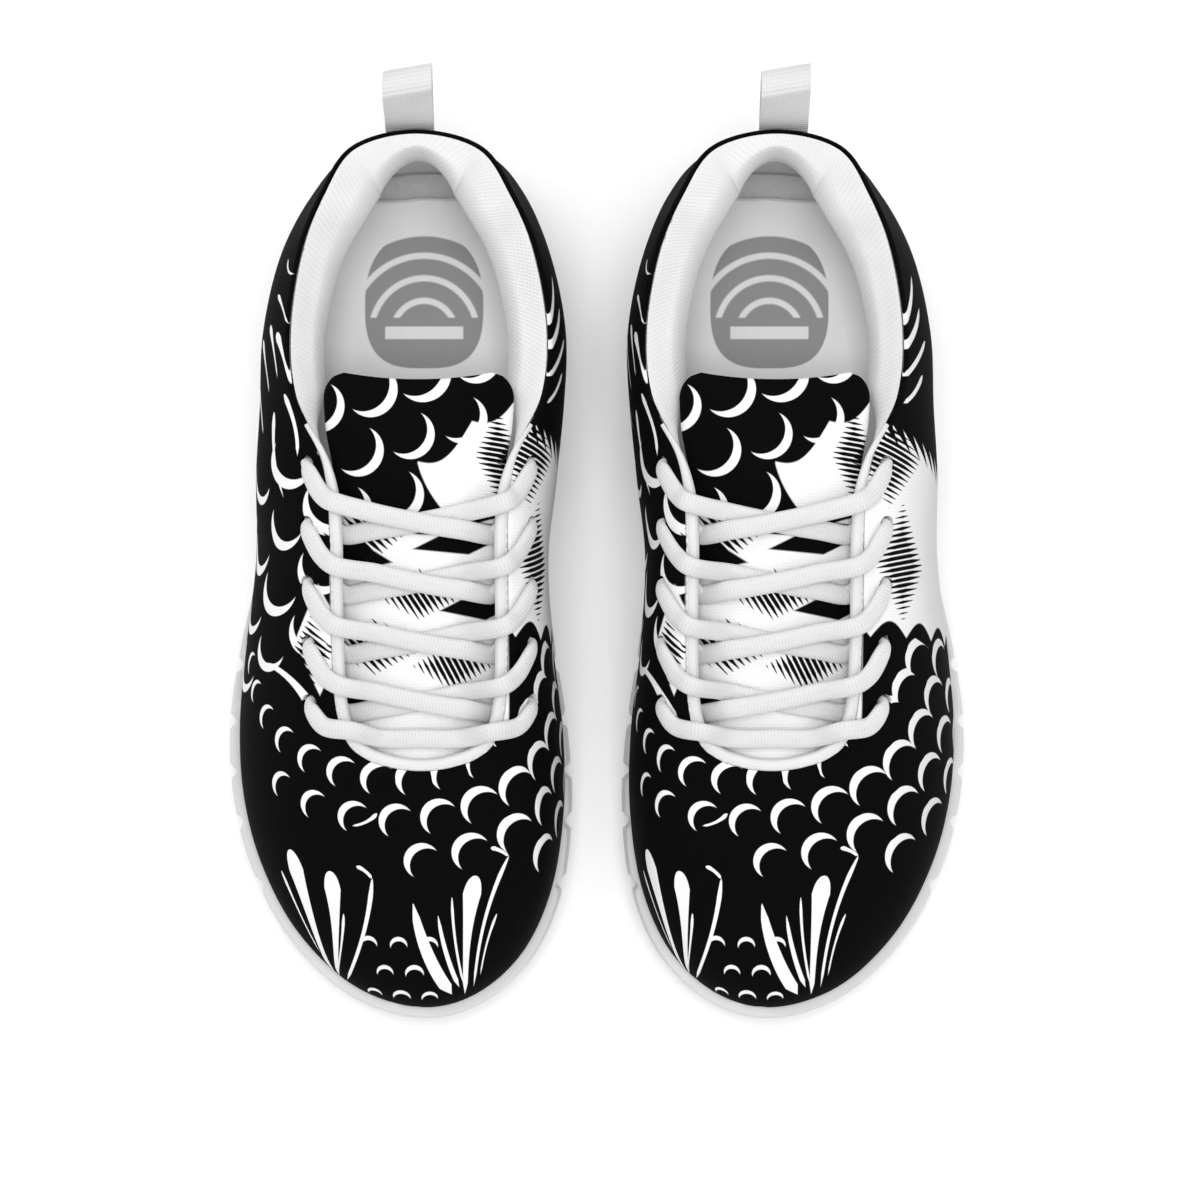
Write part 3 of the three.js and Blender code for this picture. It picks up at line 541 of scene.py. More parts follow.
def moon(dx, dy, size, lean):
    """A sliver of moon: a disc of the given size, less the same disc moved by size times lean."""
    disc = (dx * dx + dy * dy).sqrt()
    ex, ey = dx - size * lean[0], dy - size * lean[1]
    hollow = (ex * ex + ey * ey).sqrt()
    return (size - disc).step(0, 0.12) * (hollow - size).step(0, 0.12)


def moons(f, x, y, cell, size, lean, spread, seed):
    """Staggered slivers of moon, one in each square cell, each with its own size. Returns the mark and the
    middle of its cell."""
    row = (y / cell).floor()
    along = x / cell + row * 0.5
    column = along.floor()
    own = size * (1 - spread + 2 * spread * f.chance(column, row, seed))
    dx, dy = (along - column - 0.5) * cell, (y / cell - row - 0.5) * cell
    return moon(dx, dy, own, lean), x - dx, y - dy


def scales(x, y, centre, first, cell, lean):
    """Slivers in rings about a centre: ring j lies at radius first + (j + 1/2) cell, each ring half a cell round
    from the last; they grow towards one side. Returns the mark, the middle of its cell and its ring's radius."""
    dx, dy = x - centre[0], centre[1] - y
    radius = (dx * dx + dy * dy).sqrt()
    ring = ((radius - first) / cell[1]).floor()
    middle = first + (ring + 0.5) * cell[1]
    turn = dx.angle(dy) / cell[0] + ring * 0.5
    angle = (turn.floor() + 0.5 - ring * 0.5) * cell[0]
    cx, cy = middle * angle.sin(), middle * (angle + math.pi / 2).sin()
    size = (5.5 + 0.03 * cx).high(3.4).low(6.8)
    return moon(dx - cx, cy - dy, size, lean), cx + centre[0], centre[1] - cy, middle


def hatch(x, y, centre, half, slope, pitch):
    """A diamond of slanting strokes that thin out towards its edges."""
    reach = 1 - (x - centre[0]).abs() / half[0] - (y - centre[1]).abs() / half[1]
    wave = ((x * math.sin(slope) + y * math.cos(slope)) / pitch).fract() - 0.5
    width = reach.high(0).low(0.5) * 0.62 + 0.05
    return (width - wave.abs()).step(0, 0.06) * reach.step(0.02, 0.03)


def diamond(x, y, centre, half, slope, soft=0.05):
    """1 where |x - cx| / half width + |y - cy - slope x| / half height is under 1."""
    return (1 - ((x - centre[0]).abs() / half[0] + (y - centre[1] - slope * x).abs() / half[1])).step(0, soft)


def stroke(x, y, start, end, thin, thick, bow):
    """A brush stroke from a thin start to a bulged end: its half width is thin + (thick - thin) t^3, rounded off
    as a square root over its last seventh, and its middle line bends by bow times 4 t (1 - t)."""
    dx, dy = end[0] - start[0], end[1] - start[1]
    long = math.hypot(dx, dy)
    t = (x - start[0]) * (dx / long**2) + (y - start[1]) * (dy / long**2)
    across = ((x - start[0]) * (dy / long) - (y - start[1]) * (dx / long) - t * (1 - t) * (4 * bow)).abs()
    half = (thin + (thick - thin) * t * t * t) * ((1 - t) * 7).low(1).high(0).sqrt() * (t * 8).low(1)
    return (half - across).step(0.04, 0.1) * t.step(0, 0.005) * (1 - t).step(0, 0.005)


# brush strokes on the toe and slivers beside the collar: start, end, half widths there, bow
STROKES = (
    ((-35, -136), (-45, -87), 1.0, 4.2, 1.5), ((-33, -134), (-30, -93), 0.9, 4.0, 2.0),
    ((-37, -129), (-40.5, -98), 0.4, 0.8, 0.8), ((-32, -131), (-26, -107), 0.3, 0.7, 1.0),
    ((-29, -134), (-16, -95), 0.6, 0.9, 2.5), ((-16, -95), (-21, -91), 0.5, 0.8, 0.5),
    ((-38, -124), (-50, -95), 0.3, 0.8, 0.5), ((15, -137), (17, -94), 0.9, 4.2, -1.5),
    ((10, -136), (-3, -103), 2.2, 0.7, -2.0), ((12.5, -133), (5, -107), 0.8, 0.4, -1.0),
    ((14, -132), (9.5, -101), 0.4, 0.5, -1.0), ((18, -134), (28, -88), 0.5, 0.9, -3.0),
    ((28, -88), (22, -85), 0.5, 0.9, 0.4), ((20, -129), (24.5, -107), 0.3, 0.6, -1.0),
    ((-55, -26), (-30, -49), 0.9, 3.6, -4.5), ((-22, -78), (-14, -74), 0.4, 0.9, 0.8),
    ((40, 52), (52, 61), 0.8, 1.1, 1.0), ((39, 60), (54, 72), 1.0, 0.9, 1.0),
    ((38, 68), (51, 82), 1.3, 0.6, 1.2), ((37, 74), (48, 92), 1.2, 0.5, 1.2),
    ((-38, 36), (-43, 55), 0.7, 1.6, 1.5), ((-45, 24), (-50, 50), 0.5, 1.4, -1.5),
    ((-39, 57), (-47, 74), 0.5, 2.4, 0.9), ((-47, 60), (-53, 77), 0.4, 1.7, 0.8),
    ((-54, 56), (-61, 73), 0.4, 1.7, 0.6), ((-40, 76), (-49, 86), 0.4, 1.2, 0.8),
    ((-38, 91), (-45, 97), 0.4, 0.8, -1.6), ((-58, 44), (-68, 58), 0.4, 1.5, 0.6),
)
# hatching over the bare cloth: centre, half width and height, slant in radians, pitch
HATCHES = (
    ((36, 35), (14, 15), 0.35, 1.7), ((42, 4), (12, 19), -0.2, 1.7), ((24, 36), (7, 15), 0.15, 1.6),
    ((-17, 12), (13, 11), 0.75, 1.9), ((0, -6), (16, 8), 1.0, 1.7), ((-14, -22), (17, 9), 0.8, 1.9),
    ((10, -28), (13, 8), 1.1, 1.7), ((-34, -24), (8, 12), 0.6, 1.8),
)
# inked diamonds on the bare cloth under the laces: centre, half width and height, slope
WEDGES = (
    ((15, 8), (17, 5), 0.2), ((20, -12), (14, 5), 0.15), ((-22, 2), (14, 6), -0.2), ((-24, -41), (12, 7), 0.0),
)


def printed_finish(name):
    """Black and white comic-ink print on open mesh: moon slivers, hatching, brush strokes and bare cloth."""
    colours = bpy.context.scene.shoe_colours
    f = Finish(name, (0.03, 0.03, 0.03))
    x, y = f.cloth_axes()
    lean = (0.33, -0.29)
    toe, mx, my, ring = scales(x, y, (-8, 0), 56.5, (0.178, 13.2), lean)
    # where each kind of mark belongs, judged at the middle of its cell so that none is cut
    front = (0 - my - 45 - 0.3 * mx).step(0, 0.1).high((0 - my - 22).step(0, 0.1) * (mx - 30).step(0, 0.1))
    marks = toe * front * ring.step(58, 0.2) * (92 + 0.3 * mx - ring).step(0, 0.1)
    side_line = 27.2 + 3 * (y - 37).step(0, 0.3)
    throat = (side_line - x.abs()).step(0, 0.3) * (66 - y).step(0, 0.5) * (y + 57.5 - 0.014 * x * x).step(0, 0.2)
    left = (0 - x - side_line).step(0, 0.3)
    right = (x - side_line).step(0, 0.3)
    bumps, mx, my = moons(f, x + 3, y + 2, 10.0, 3.0, (0.04, -0.5), 0.08, 2.0)
    marks = marks.high(bumps * (13 - (mx + 6).abs()).step(0, 0.1) * (0 - my - 106).step(0, 0.1))
    flank, mx, my = moons(f, x * 0.9 + y * 0.3, y - x * 0.25, 18.0, 8.2, (0.3, 0.26), 0.16, 3.0)
    marks = marks.high(flank * left * (60 - my).step(0, 0.1) * (my + 12).step(0, 0.1))
    feather_marks, _, _ = moons(f, x + y * 0.25, y - x * 0.3, 17.0, 8.0, (-0.24, 0.3), 0.08, 4.0)
    marks = marks.high(feather_marks * throat * (y - 16).step(0, 0.4))
    marks = marks.high(union(stroke(x, y, *line) for line in STROKES))
    # bare cloth beside the throat, with teeth along its upper edge, and patches under the laces
    teeth = 6 * (1 - ((x + 0.5 * y) / 4.2).fract())
    bare = right * (y + 19 - 5 * ((x - 2) / 4.4).sin().abs()).step(0, 0.25)
    bare = bare * (42 + teeth - y - 0.35 * (x - 30)).step(0, 0.25)
    flap = throat * (x - 1 + 0.3 * (y - 30) - 0.02 * (y - 32) * (y - 32)).step(0, 0.25)
    flap = flap * (34 + 0.75 * x - 5 * (x / 5.2).sin().abs() - y).step(0, 0.25) * (y - 19).step(0, 0.25)
    wave = ((x + 40) / 9).sin() * 3
    patch = throat * (15 + wave - y).step(0, 0.25)
    patch = patch * (1 - union(diamond(x, y, *wedge) for wedge in WEDGES))
    edge = diamond(x, y, (-31, -20), (9, 17), 0.0, soft=0.03)
    shown = union([marks, bare, flap, patch, edge]) * (1 - union(hatch(x, y, *lines) for lines in HATCHES))
    # open mesh: rows of small round holes, each row half a pitch on from the last
    across, down = 1.1, 0.95
    row = (y / down).floor()
    hx = ((x / across + row * 0.5).fract() - 0.5) * across
    hy = ((y / down).fract() - 0.5) * down
    hole = 1 - (hx * hx + hy * hy).sqrt().step(0.24, 0.12)
    # painted shade: the bare cloth turns grey towards the outer edge, where the side turns from the light; the noise
    # adds a faint random mottle
    painted_shade_and_mottle = (x - 38).step(8, 14) * 0.5 + f.noise(f.combine(x, y), 0.05) * 0.1
    # painted shade in the mesh holes: each hole greys the bare cloth and deepens the ink
    ground = f.mix(hole * 0.3, colours.ground, darker(colours.ground, 0.74))
    ground = f.mix(painted_shade_and_mottle, ground, (0.42, 0.42, 0.425))
    ink = f.mix(hole, colours.ink, darker(colours.ink, 0.3))
    f.set(Base_Color=f.mix(shown, ink, ground), Roughness=0.85 + 0.05 * shown)
    f.set(Specular_IOR_Level=0.06)
    f.bump((1 - hole) * 0.8 + 0.2 * ((x * 9).sin() * (y * 9).sin() * 0.5 + 0.5), 0.18, 0.5)
    return f.material


def cloth_finish(name, tint, pitch, slant, relief, from_uv=True):
    """Knitted or woven cloth: fine ribs crossed by yarns, with a soft mottle."""
    f = Finish(name, tint)
    x, y = f.cloth_axes() if from_uv else f.axes(f.object_place())
    across = x * math.cos(slant) + y * math.sin(slant)
    along = y * math.cos(slant) - x * math.sin(slant)
    rib = (across * (2 * math.pi / pitch)).sin() * 0.5 + 0.5
    yarn = (along * (2 * math.pi / pitch / 0.8) + rib * 1.6).sin() * 0.5 + 0.5
    mottle = f.noise(f.combine(x, y), 0.08, 3)
    weave = rib * 0.6 + yarn * 0.4
    f.set(Base_Color=f.mix(weave * 0.45 + mottle * 0.55, darker(tint, 0.8), tint), Roughness=0.9 - 0.1 * weave)
    f.set(Specular_IOR_Level=0.25, Sheen_Weight=0.25, Sheen_Roughness=0.6)
    f.bump(weave, relief, 0.7)
    return f.material


def moulded_finish(name, tint, roughness, grain):
    """Moulded foam or rubber: fine grain, faint mottle and a little scuffing."""
    f = Finish(name, tint)
    coordinates = f.object_place()
    fine = f.noise(coordinates, grain, 3)
    broad = f.noise(coordinates, 60, 2)
    f.set(Base_Color=f.mix(broad * 0.6 + fine * 0.2, darker(tint, 0.86), tint), Roughness=roughness + 0.12 * fine)
    f.set(Specular_IOR_Level=0.4)
    f.bump(fine, 0.12, 0.35)
    return f.material


def board_finish(name, tint):
    """Pressed fibre board or open foam: random fibres and pores."""
    f = Finish(name, tint)
    coordinates = f.object_place()
    fibres = f.noise(coordinates, 900, 4)
    f.set(Base_Color=f.mix(fibres, darker(tint, 0.75), tint), Roughness=0.85 + 0.1 * fibres)
    f.bump(fibres, 0.2, 0.5)
    return f.material


def insole_finish(name):
    """Brushed insole cover with a plain printed badge: a rounded shield holding arcs and a bar."""
    colours, sizes = bpy.context.scene.shoe_colours, bpy.context.scene.shoe_sizes
    f = Finish(name, colours.insole)
    x, y = f.cloth_axes()
    half = sizes.badge_width * 500
    bx, by = x / half, (y - 86) / (half * 1.06)
    shield = 1 - (bx.abs() ** 2.6 + (by * 0.92 + 0.1 * bx * bx).abs() ** 2.6)
    body = shield.step(0, 0.02)
    outline = shield.step(-0.22, 0.02) * (1 - shield.step(-0.12, 0.02))
    distance = (bx * bx + (by + 0.55) * (by + 0.55)).sqrt()
    arcs = (0.05 - ((distance / 0.36).fract() - 0.5).abs() * 0.36).step(0, 0.015) * (by + 0.28).step(0, 0.01)
    band = (0.1 - (by + 0.52).abs()).step(0, 0.012) * (0.66 - bx.abs()).step(0, 0.012)
    mark = body * (1 - arcs.high(band))
    fibre = f.noise(f.combine(x, y), 2.2, 4)
    nap = f.noise(f.combine(x, y), 0.06, 2)
    tint = colours.insole
    base = f.mix(fibre * 0.5 + nap * 0.5, darker(tint, 0.86), tint)
    base = f.mix(outline * 0.6, base, (0.72, 0.72, 0.73))
    f.set(Base_Color=f.mix(mark * 0.96, base, colours.badge), Roughness=0.86 - 0.1 * mark)
    f.set(Specular_IOR_Level=0.25, Sheen_Weight=0.2)
    f.bump(fibre, 0.12, 0.5)
    return f.material


def lace_finish(name, tint):
    """Braided cord: two sets of slanting yarns that cross, and a fine rib round the cord."""
    f = Finish(name, tint)
    x, y = f.cloth_axes()
    one = ((x * 0.8 + y * 1.9) * 3.2).sin()
    two = ((x * 0.8 - y * 1.9) * 3.2).sin()
    braid = one.high(two) * 0.5 + 0.5
    rib = (y * (2 * math.pi / 0.95)).sin() * 0.5 + 0.5
    weave = braid * 0.45 + rib * 0.55
    f.set(Base_Color=f.mix(weave, darker(tint, 0.84), tint), Roughness=0.9 - 0.12 * weave)
    f.set(Specular_IOR_Level=0.22, Sheen_Weight=0.3, Sheen_Roughness=0.5)
    f.bump(weave, 0.16, 0.7)
    return f.material


def plastic_finish(name, tint):
    """Glossy moulded tip with faint flow marks."""
    f = Finish(name, tint)
    coordinates = f.object_place()
    flow = f.noise(coordinates, 300, 2)
    f.set(Roughness=0.18 + 0.1 * flow, Base_Color=f.mix(flow, darker(tint, 0.9), tint))
    return f.material


FINISHES = {}


def finish_for(kind):
    """The material of one kind, made once."""
    colours = bpy.context.scene.shoe_colours
    if kind not in FINISHES:
        FINISHES[kind] = {
            "print": lambda: printed_finish("printed_mesh"),
            "sole": lambda: moulded_finish("moulded_sole", colours.sole, 0.5, 700),
            "tread": lambda: moulded_finish("tread_rubber", darker(colours.sole, 0.96), 0.6, 1200),
            "lining": lambda: cloth_finish("lining_knit", colours.lining, 1.3, 0.5, 0.16),
            "binding": lambda: cloth_finish("binding_tape", colours.lining, 0.8, 0.0, 0.1),
            "insole": lambda: insole_finish("insole_cover"),
            "lace": lambda: lace_finish("lace_braid", colours.lace),
            "webbing": lambda: cloth_finish("tab_webbing", colours.webbing, 1.2, 1.5708, 0.3),
            "board": lambda: board_finish("fibre_board", (0.62, 0.62, 0.615)),
            "foam": lambda: board_finish("collar_foam", (0.86, 0.86, 0.84)),
            "tip": lambda: plastic_finish("lace_tip", (0.8, 0.8, 0.81)),
            "thread": lambda: cloth_finish("sewing_thread", (0.7, 0.7, 0.71), 0.4, 0.6, 0.05, from_uv=False),
        }[kind]()
    return FINISHES[kind]


# ---- layers of the upper ----
EYELETS = {
    (n, sign): locate(sign * EYELET_OUT, EYELET_FIRST + n * EYELET_PITCH)
    for n in range(EYELET_ROWS)
    for sign in (1, -1)
}
PUNCH_REACH, PUNCH_CORE = 7.0, 2.1


def spread_columns():
    """Places round the loop, packed closer beside the eyelets."""
    zones = ((0.0, 0.19, 64), (0.19, 0.35, 132), (0.35, 0.65, 104), (0.65, 0.81, 132), (0.81, 1.0, 64))
    return np.concatenate([np.linspace(a, b, n, endpoint=False) for a, b, n in zones])


def punched(u, v):
    """Moves the grid's points off each eyelet, so that a ring of them lies on its edge: a point at distance d
    from the centre goes to R + (reach - R)(d - core) / (reach - core). Returns the grid and the faces kept."""
    inside = np.zeros(u.shape, bool)
    for cu, cv in EYELETS.values():
        span_u = (face(cu + 1e-3, cv) - face(cu - 1e-3, cv)) / 2e-3
        span_v = (face(cu, cv + 1e-3) - face(cu, cv - 1e-3)) / 2e-3
        du, dv = u - cu, v - cv
        far = np.linalg.norm(du[..., None] * span_u + dv[..., None] * span_v, axis=-1)
        near = far < PUNCH_REACH
        share = np.clip((far - PUNCH_CORE) / (PUNCH_REACH - PUNCH_CORE), 0, 1)
        moved = EYELET_RADIUS + (PUNCH_REACH - EYELET_RADIUS) * share
        scale = np.where(near, moved / np.maximum(far, 1e-6), 1.0)
        u, v = cu + du * scale, cv + dv * scale
        inside |= far <= PUNCH_CORE
    after = np.roll(inside, -1, 0)
    keep = ~(inside[:, :-1] & after[:, :-1] & after[:, 1:] & inside[:, 1:])
    return u, v, keep


def unrolled(u, v):
    """Cloth coordinates: (x, y) in plan, with the way out from the top line measured along the cloth instead of
    level: p + out * (length down the wall - out . (p - top))."""
    out = outward(u[:, 0])[:, None]
    steps = np.linspace(0, 1, 80)
    line = face(u[:, :1] + 0 * steps, 0 * u[:, :1] + steps)
    hop = np.diff(line, axis=1)
    level = (hop * out).sum(-1)
    length = np.cumsum(np.sqrt(level**2 + hop[..., 2] ** 2)[:, ::-1], 1)[:, ::-1]
    length = np.concatenate([length, np.zeros((len(u), 1))], 1)
    down = np.stack([np.interp(v[k], steps, length[k]) for k in range(len(u))])
    p, top = face(u, v), line[:, -1:]
    away = ((p - top) * out).sum(-1)
    return (p + out * (down - away)[..., None])[..., :2]


def cloth_uv(plan, side):
    """Cloth coordinates as UVs in metres, turned so that the print reads the same way on both shoes."""
    return np.stack([plan[..., 0] * side, plan[..., 1]], -1) * 0.001


def columns_between(first, last, per_column):
    """Places round the loop from one column of the CAD grid to another."""
    return np.linspace(first, last, int(round((last - first) * per_column)) + 1) / AROUND


def layer(name, side, columns, levels, near, far):
    """A patch of one layer of the wall, between two depths that may vary with (u, v)."""
    u, v = np.meshgrid(columns_between(*columns, 6), np.linspace(*levels, 25), indexing="ij")
    depth = [d(u, v) if callable(d) else np.full(u.shape, d) for d in (near, far)]
    near_face, far_face = (wall(u, v, d) for d in depth)
    return shell(name, side, near_face, far_face, uv=cloth_uv(unrolled(u, v), side))


def make_upper(side):
    """The printed skin: the outer face and a parallel face one cloth thickness in, with punched eyelets."""
    rows = np.concatenate([np.linspace(0, 0.66, 30, endpoint=False), np.linspace(0.66, 1, 36)])
    u, v = np.meshgrid(spread_columns(), rows, indexing="ij")
    u, v, keep = punched(u, v)
    uv = cloth_uv(unrolled(u, v), side)
    edge = 0.5 * smooth(v, 0.985, 1.0)
    outer = wall(u, v, edge)
    inner = wall(u, v, FABRIC - edge)
    obj = shell("mesh_upper", side, outer, inner, closed=True, uv=uv, keep=keep)
    finish_piece(obj, side, "printed_mesh", "print", "upper")


def lining_depth(u, v):
    """The lining over the collar pad, rolled to the top line like a quarter of an ellipse."""
    full = PAD_DEPTH + pad_thickness(u, np.minimum(v, 0.86)) + GAP
    start = FABRIC + 0.06
    t = np.clip((1 - v) / 0.15, 0, 1)
    return start + (full - start) * np.sqrt(np.clip(1 - (1 - t) ** 2, 0, 1))


def make_collar(side):
    """Collar lining: the wall's surface at the pad's depth, rolled over the foam to the top line."""
    t = np.linspace(0, 1, 73)
    levels = 0.04 + 0.96 * (1 - (1 - t) ** 1.9)
    u, v = np.meshgrid(columns_between(-COLLAR_END, COLLAR_END, 14), levels, indexing="ij")
    near = lining_depth(u, v)
    fade = smooth(COLLAR_END * LOOP / AROUND - seat(u), 0, 1.5)
    rise = 1.1 * smooth(v, 0.9, 0.97) * (1 - smooth(v, 0.97, 1.0)) * fade
    up = np.zeros(u.shape + (3,))
    up[..., 2] = rise
    outer, inner = wall(u, v, near) + up, wall(u, v, near + LINING) + up * 1.1
    round_top = length_along(face(u[:, 0], np.ones(len(u))))[:, None] + 0 * v
    across = np.cumsum(np.linalg.norm(np.diff(outer, axis=1, prepend=outer[:, :1]), axis=-1), 1)
    uv = np.stack([round_top, across], -1) * 0.001
    obj = shell("collar", side, outer, inner, uv=uv, sharp=70)
    finish_piece(obj, side, "lining", "lining", "collar_lining")


def make_hidden_layers(side):
    """Stiffeners, foam and front lining: parallel patches of the wall at their own depths."""
    inside = FABRIC + GAP
    vamp = FABRIC + PUFF + 2 * GAP
    patches = (
        ("toe_puff", (16, 26), (0.04, 0.46), inside, inside + PUFF, "stiffener", "board"),
        ("heel_counter", (-5, 5), (0.04, 0.6), inside, inside + COUNTER, "stiffener", "board"),
        ("vamp_lining", (9.05, 32.95), (0.04, 0.68), vamp, vamp + LINING, "lining", "lining"),
        (
            "collar_foam",
            (-7, 7),
            (0.46, 0.94),
            lambda u, v: PAD_DEPTH - (PAD_DEPTH - inside) * smooth(v, 0.6, 0.68),
            lambda u, v: np.minimum(PAD_DEPTH + pad_thickness(u, v), lining_depth(u, v) - GAP),
            "collar_foam",
            "foam",
        ),
    )
    for node, columns, levels, near, far, slot, kind in patches:
        obj = layer(f"{node}_piece", side, columns, levels, near, far)
        finish_piece(obj, side, slot, kind, node)
    for node, columns in (("outer_eyestay", (8, 15)), ("inner_eyestay", (27, 34))):
        u, v = np.meshgrid(columns_between(*columns, 18), np.linspace(0.68, 0.96, 31), indexing="ij")
        u, v, keep = punched(u, v)
        keep = keep[:-1]
        near, far = wall(u, v, inside), wall(u, v, inside + STAY)
        obj = shell(f"{node}_piece", side, near, far, keep=keep)
        finish_piece(obj, side, "stiffener", "board", node)


def rim(u):
    """The top line at u, with unit vectors up off the face and on past the line into the opening."""
    top = np.ones_like(u)
    up = face_normal(u, top)
    along = unit(face(u + 1e-3, top) - face(u - 1e-3, top))
    return face(u, top), up, unit(np.cross(along, up))


def sweep(path, across, up, half_width, half_thick, sides=16, square=3.0):
    """A flat cord: |a / width|^n + |b / thick|^n = 1 carried along a path. Returns rings of points."""
    angle = np.linspace(0, 2 * np.pi, sides, endpoint=False)
    c, s = np.cos(angle), np.sin(angle)
    a = np.sign(c) * np.abs(c) ** (2 / square)
    b = np.sign(s) * np.abs(s) ** (2 / square)
    w = np.broadcast_to(half_width, (len(path),))[:, None, None]
    h = np.broadcast_to(half_thick, (len(path),))[:, None, None]
    return path[:, None] + across[:, None] * a[None, :, None] * w + up[:, None] * b[None, :, None] * h


def drawn_in(rings):
    """Rings closed round, with each end drawn in to a point."""
    first, last = (ring.mean(0, keepdims=True).repeat(len(ring), 0)[None] for ring in (rings[0], rings[-1]))
    grid = np.concatenate([first, rings, last])
    return np.concatenate([grid, grid[:, :1]], 1)


def capped(name, side, rings, uv):
    """A closed bar through rings."""
    skin = Skin()
    skin.add(drawn_in(rings), np.concatenate([uv[:1], uv, uv[-1:]]))
    return skin.build(name, side, sharp=60)


def length_along(path):
    """Distance from the start at each point of a path."""
    return np.concatenate([[0], np.cumsum(np.linalg.norm(np.diff(path, axis=0), axis=1))])


def ribbon_uv(path, sides, girth):
    """UVs of a swept cord in metres: round it and along it."""
    along = length_along(path)[:, None].repeat(sides + 1, 1)
    turn = np.linspace(0, girth, sides + 1)[None].repeat(len(path), 0)
    return np.stack([turn, along], -1) * 0.001


def make_binding(side):
    """Tape folded round the throat's edge: a soft oval carried along the top line."""
    u = columns_between(8.2, AROUND - 8.2, 12)
    edge, up, inward = rim(u)
    end = smooth(np.minimum(u, 1 - u) * AROUND, 8.2, 10.2)
    below = FABRIC + STAY + 2 * GAP
    middle = edge + inward * ((GAP + BINDING_WIDTH / 2) * (0.25 + 0.75 * end))[:, None]
    middle = middle - up * (0.2 + 1.15 * end)[:, None]
    rings = sweep(middle, inward, up, 0.7 + 1.15 * end, 0.5 + (below / 2 - 0.3) * end, 20, 2.6)
    obj = capped("throat_tape", side, rings, ribbon_uv(middle, 20, 11.0))
    finish_piece(obj, side, "binding", "binding", "throat_binding")


# ---- tongue ----
tongue_line, tongue_halves = line_through(TONGUE_LINE), line_through(TONGUE_HALVES)


def tongue_top(x, y):
    """Crown line less a parabola across: z = line(y) - drop (x / half)^2."""
    return tongue_line(y) - TONGUE_DROP * (np.asarray(x) / TONGUE_HALF) ** 2


def make_tongue(side):
    """Padded flap: its top follows the crown line and falls away as a parabola, its edges are rounded."""
    first, last = TONGUE_LINE[0][0], TONGUE_LINE[-1][0]
    t, s = np.meshgrid(np.linspace(0, 1, 141), np.linspace(-1, 1, 61), indexing="ij")
    corner = 7 * (1 - np.sqrt(1 - np.clip(1 + (first - last) * (1 - t) / 8, 0, 0.999) ** 2))
    y = first + (last - first) * t
    y = y - 2.2 * (1 - np.abs(s) ** 2) * smooth(y, last - 14, last)
    x = s * (tongue_halves(y) - corner)
    pad = TONGUE_PAD * (1 - 0.6 * np.abs(s) ** 3) * (0.5 + 0.5 * smooth(y, -76, -50))
    end = np.clip((last - (first + (last - first) * t)) / 4, 0, 1)
    side_round = np.sqrt(np.clip(1 - np.clip((np.abs(s) - 0.94) / 0.06, 0, 1) ** 2, 0, 1))
    end_round = np.sqrt(np.clip(1 - (1 - end) ** 2, 0, 1))
    full = 0.12 + 0.88 * np.minimum(side_round, end_round)
    top = tongue_top(x, y)
    uv = cloth_uv(np.stack([x, y], -1), side)
    middle = top - pad / 2
    upper_face = np.stack([x, y, middle + pad / 2 * full], -1)
    lower_face = np.stack([x, y, middle - pad / 2 * full], -1)
    obj = shell("padded_tongue", side, upper_face, lower_face, uv=uv, sharp=60)
    finish_piece(obj, side, "printed_tongue", "print", "tongue", rides=False)
    lining_near = top - pad - TONGUE_GAP
    near = np.stack([x * 0.97, y, lining_near], -1)
    far = np.stack([x * 0.97, y, lining_near - TONGUE_LINING], -1)
    lining = shell("tongue_backing", side, near, far, uv=uv)
    finish_piece(lining, side, "lining", "lining", "tongue_lining", rides=False)
    for piece in (obj, lining):
        named(side, "shoe")
        named(side, "tongue_flap")
        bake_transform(piece)


# ---- laces ----
def on_face(x, y, height, width=1.0):
    """A route point over the upper: place, way up, share of the full width."""
    u, v = locate(x, y)
    return wall(u, v, -height), face_normal(u, v), width


def on_tongue(x, y, height):
    """A route point over the tongue."""
    slope_x = (tongue_top(x + 1, y) - tongue_top(x - 1, y)) / 2
    slope_y = (tongue_top(x, y + 1) - tongue_top(x, y - 1)) / 2
    return np.array([x, y, tongue_top(x, y) + height]), unit(np.array([-slope_x, -slope_y, 1.0])), 1.0


def over_rim(sign, y, beyond, height):
    """A route point past the throat's edge, in line with the face outside it."""
    u, _ = locate(sign * EDGE_OUT, y)
    edge, up, inward = rim(np.array([u]))
    return (edge + inward * beyond + up * height)[0], up[0], 1.0


def out_of_eyelet(sign, y, drops):
    """From an eyelet up over the throat's edge; drops are how far nearer the toe each point after it lies."""
    return [
        on_face(sign * EYELET_OUT, y, -1.2, NECK),
        on_face(sign * (EYELET_OUT - 0.4), y - drops[0], 0.7, NECK + 0.05),
        on_face(sign * (EYELET_OUT - 2), y - drops[1], LIFT, 0.9),
        on_face(sign * (EDGE_OUT + 1.2), y - drops[2], LIFT + BINDING_PROUD),
        over_rim(sign, y - drops[3], BINDING_WIDTH + 1, LIFT + BINDING_PROUD + 0.4),
    ]


def strand(n, sign):
    """From eyelet n on one side over its edge, across, and under the other edge to eyelet n - 1."""
    y = EYELET_FIRST + n * EYELET_PITCH
    lower, out = y - EYELET_PITCH, EYELET_OUT
    level = LIFT + (STACK if sign > 0 else 0)
    return [
        *out_of_eyelet(sign, y, (0.5, 2.6, 9, 12)),
        on_tongue(sign * 14, y - 14.8, level + 1.2),
        on_tongue(sign * 7, y - 16.4, level + 0.2),
        on_tongue(0, y - 17.8, level),
        on_tongue(-sign * 7, y - 19.1, level),
        on_tongue(-sign * 14, y - 20.2, level),
        on_tongue(-sign * 22, y - 21.6, LIFT),
        on_face(-sign * (EDGE_OUT + 0.4), lower - 2.8, -UNDER),
        on_face(-sign * (out - 2.2), lower - 0.6, -UNDER, 0.9),
        on_face(-sign * (out - 0.3), lower, -UNDER + 1.2, NECK + 0.05),
    ]


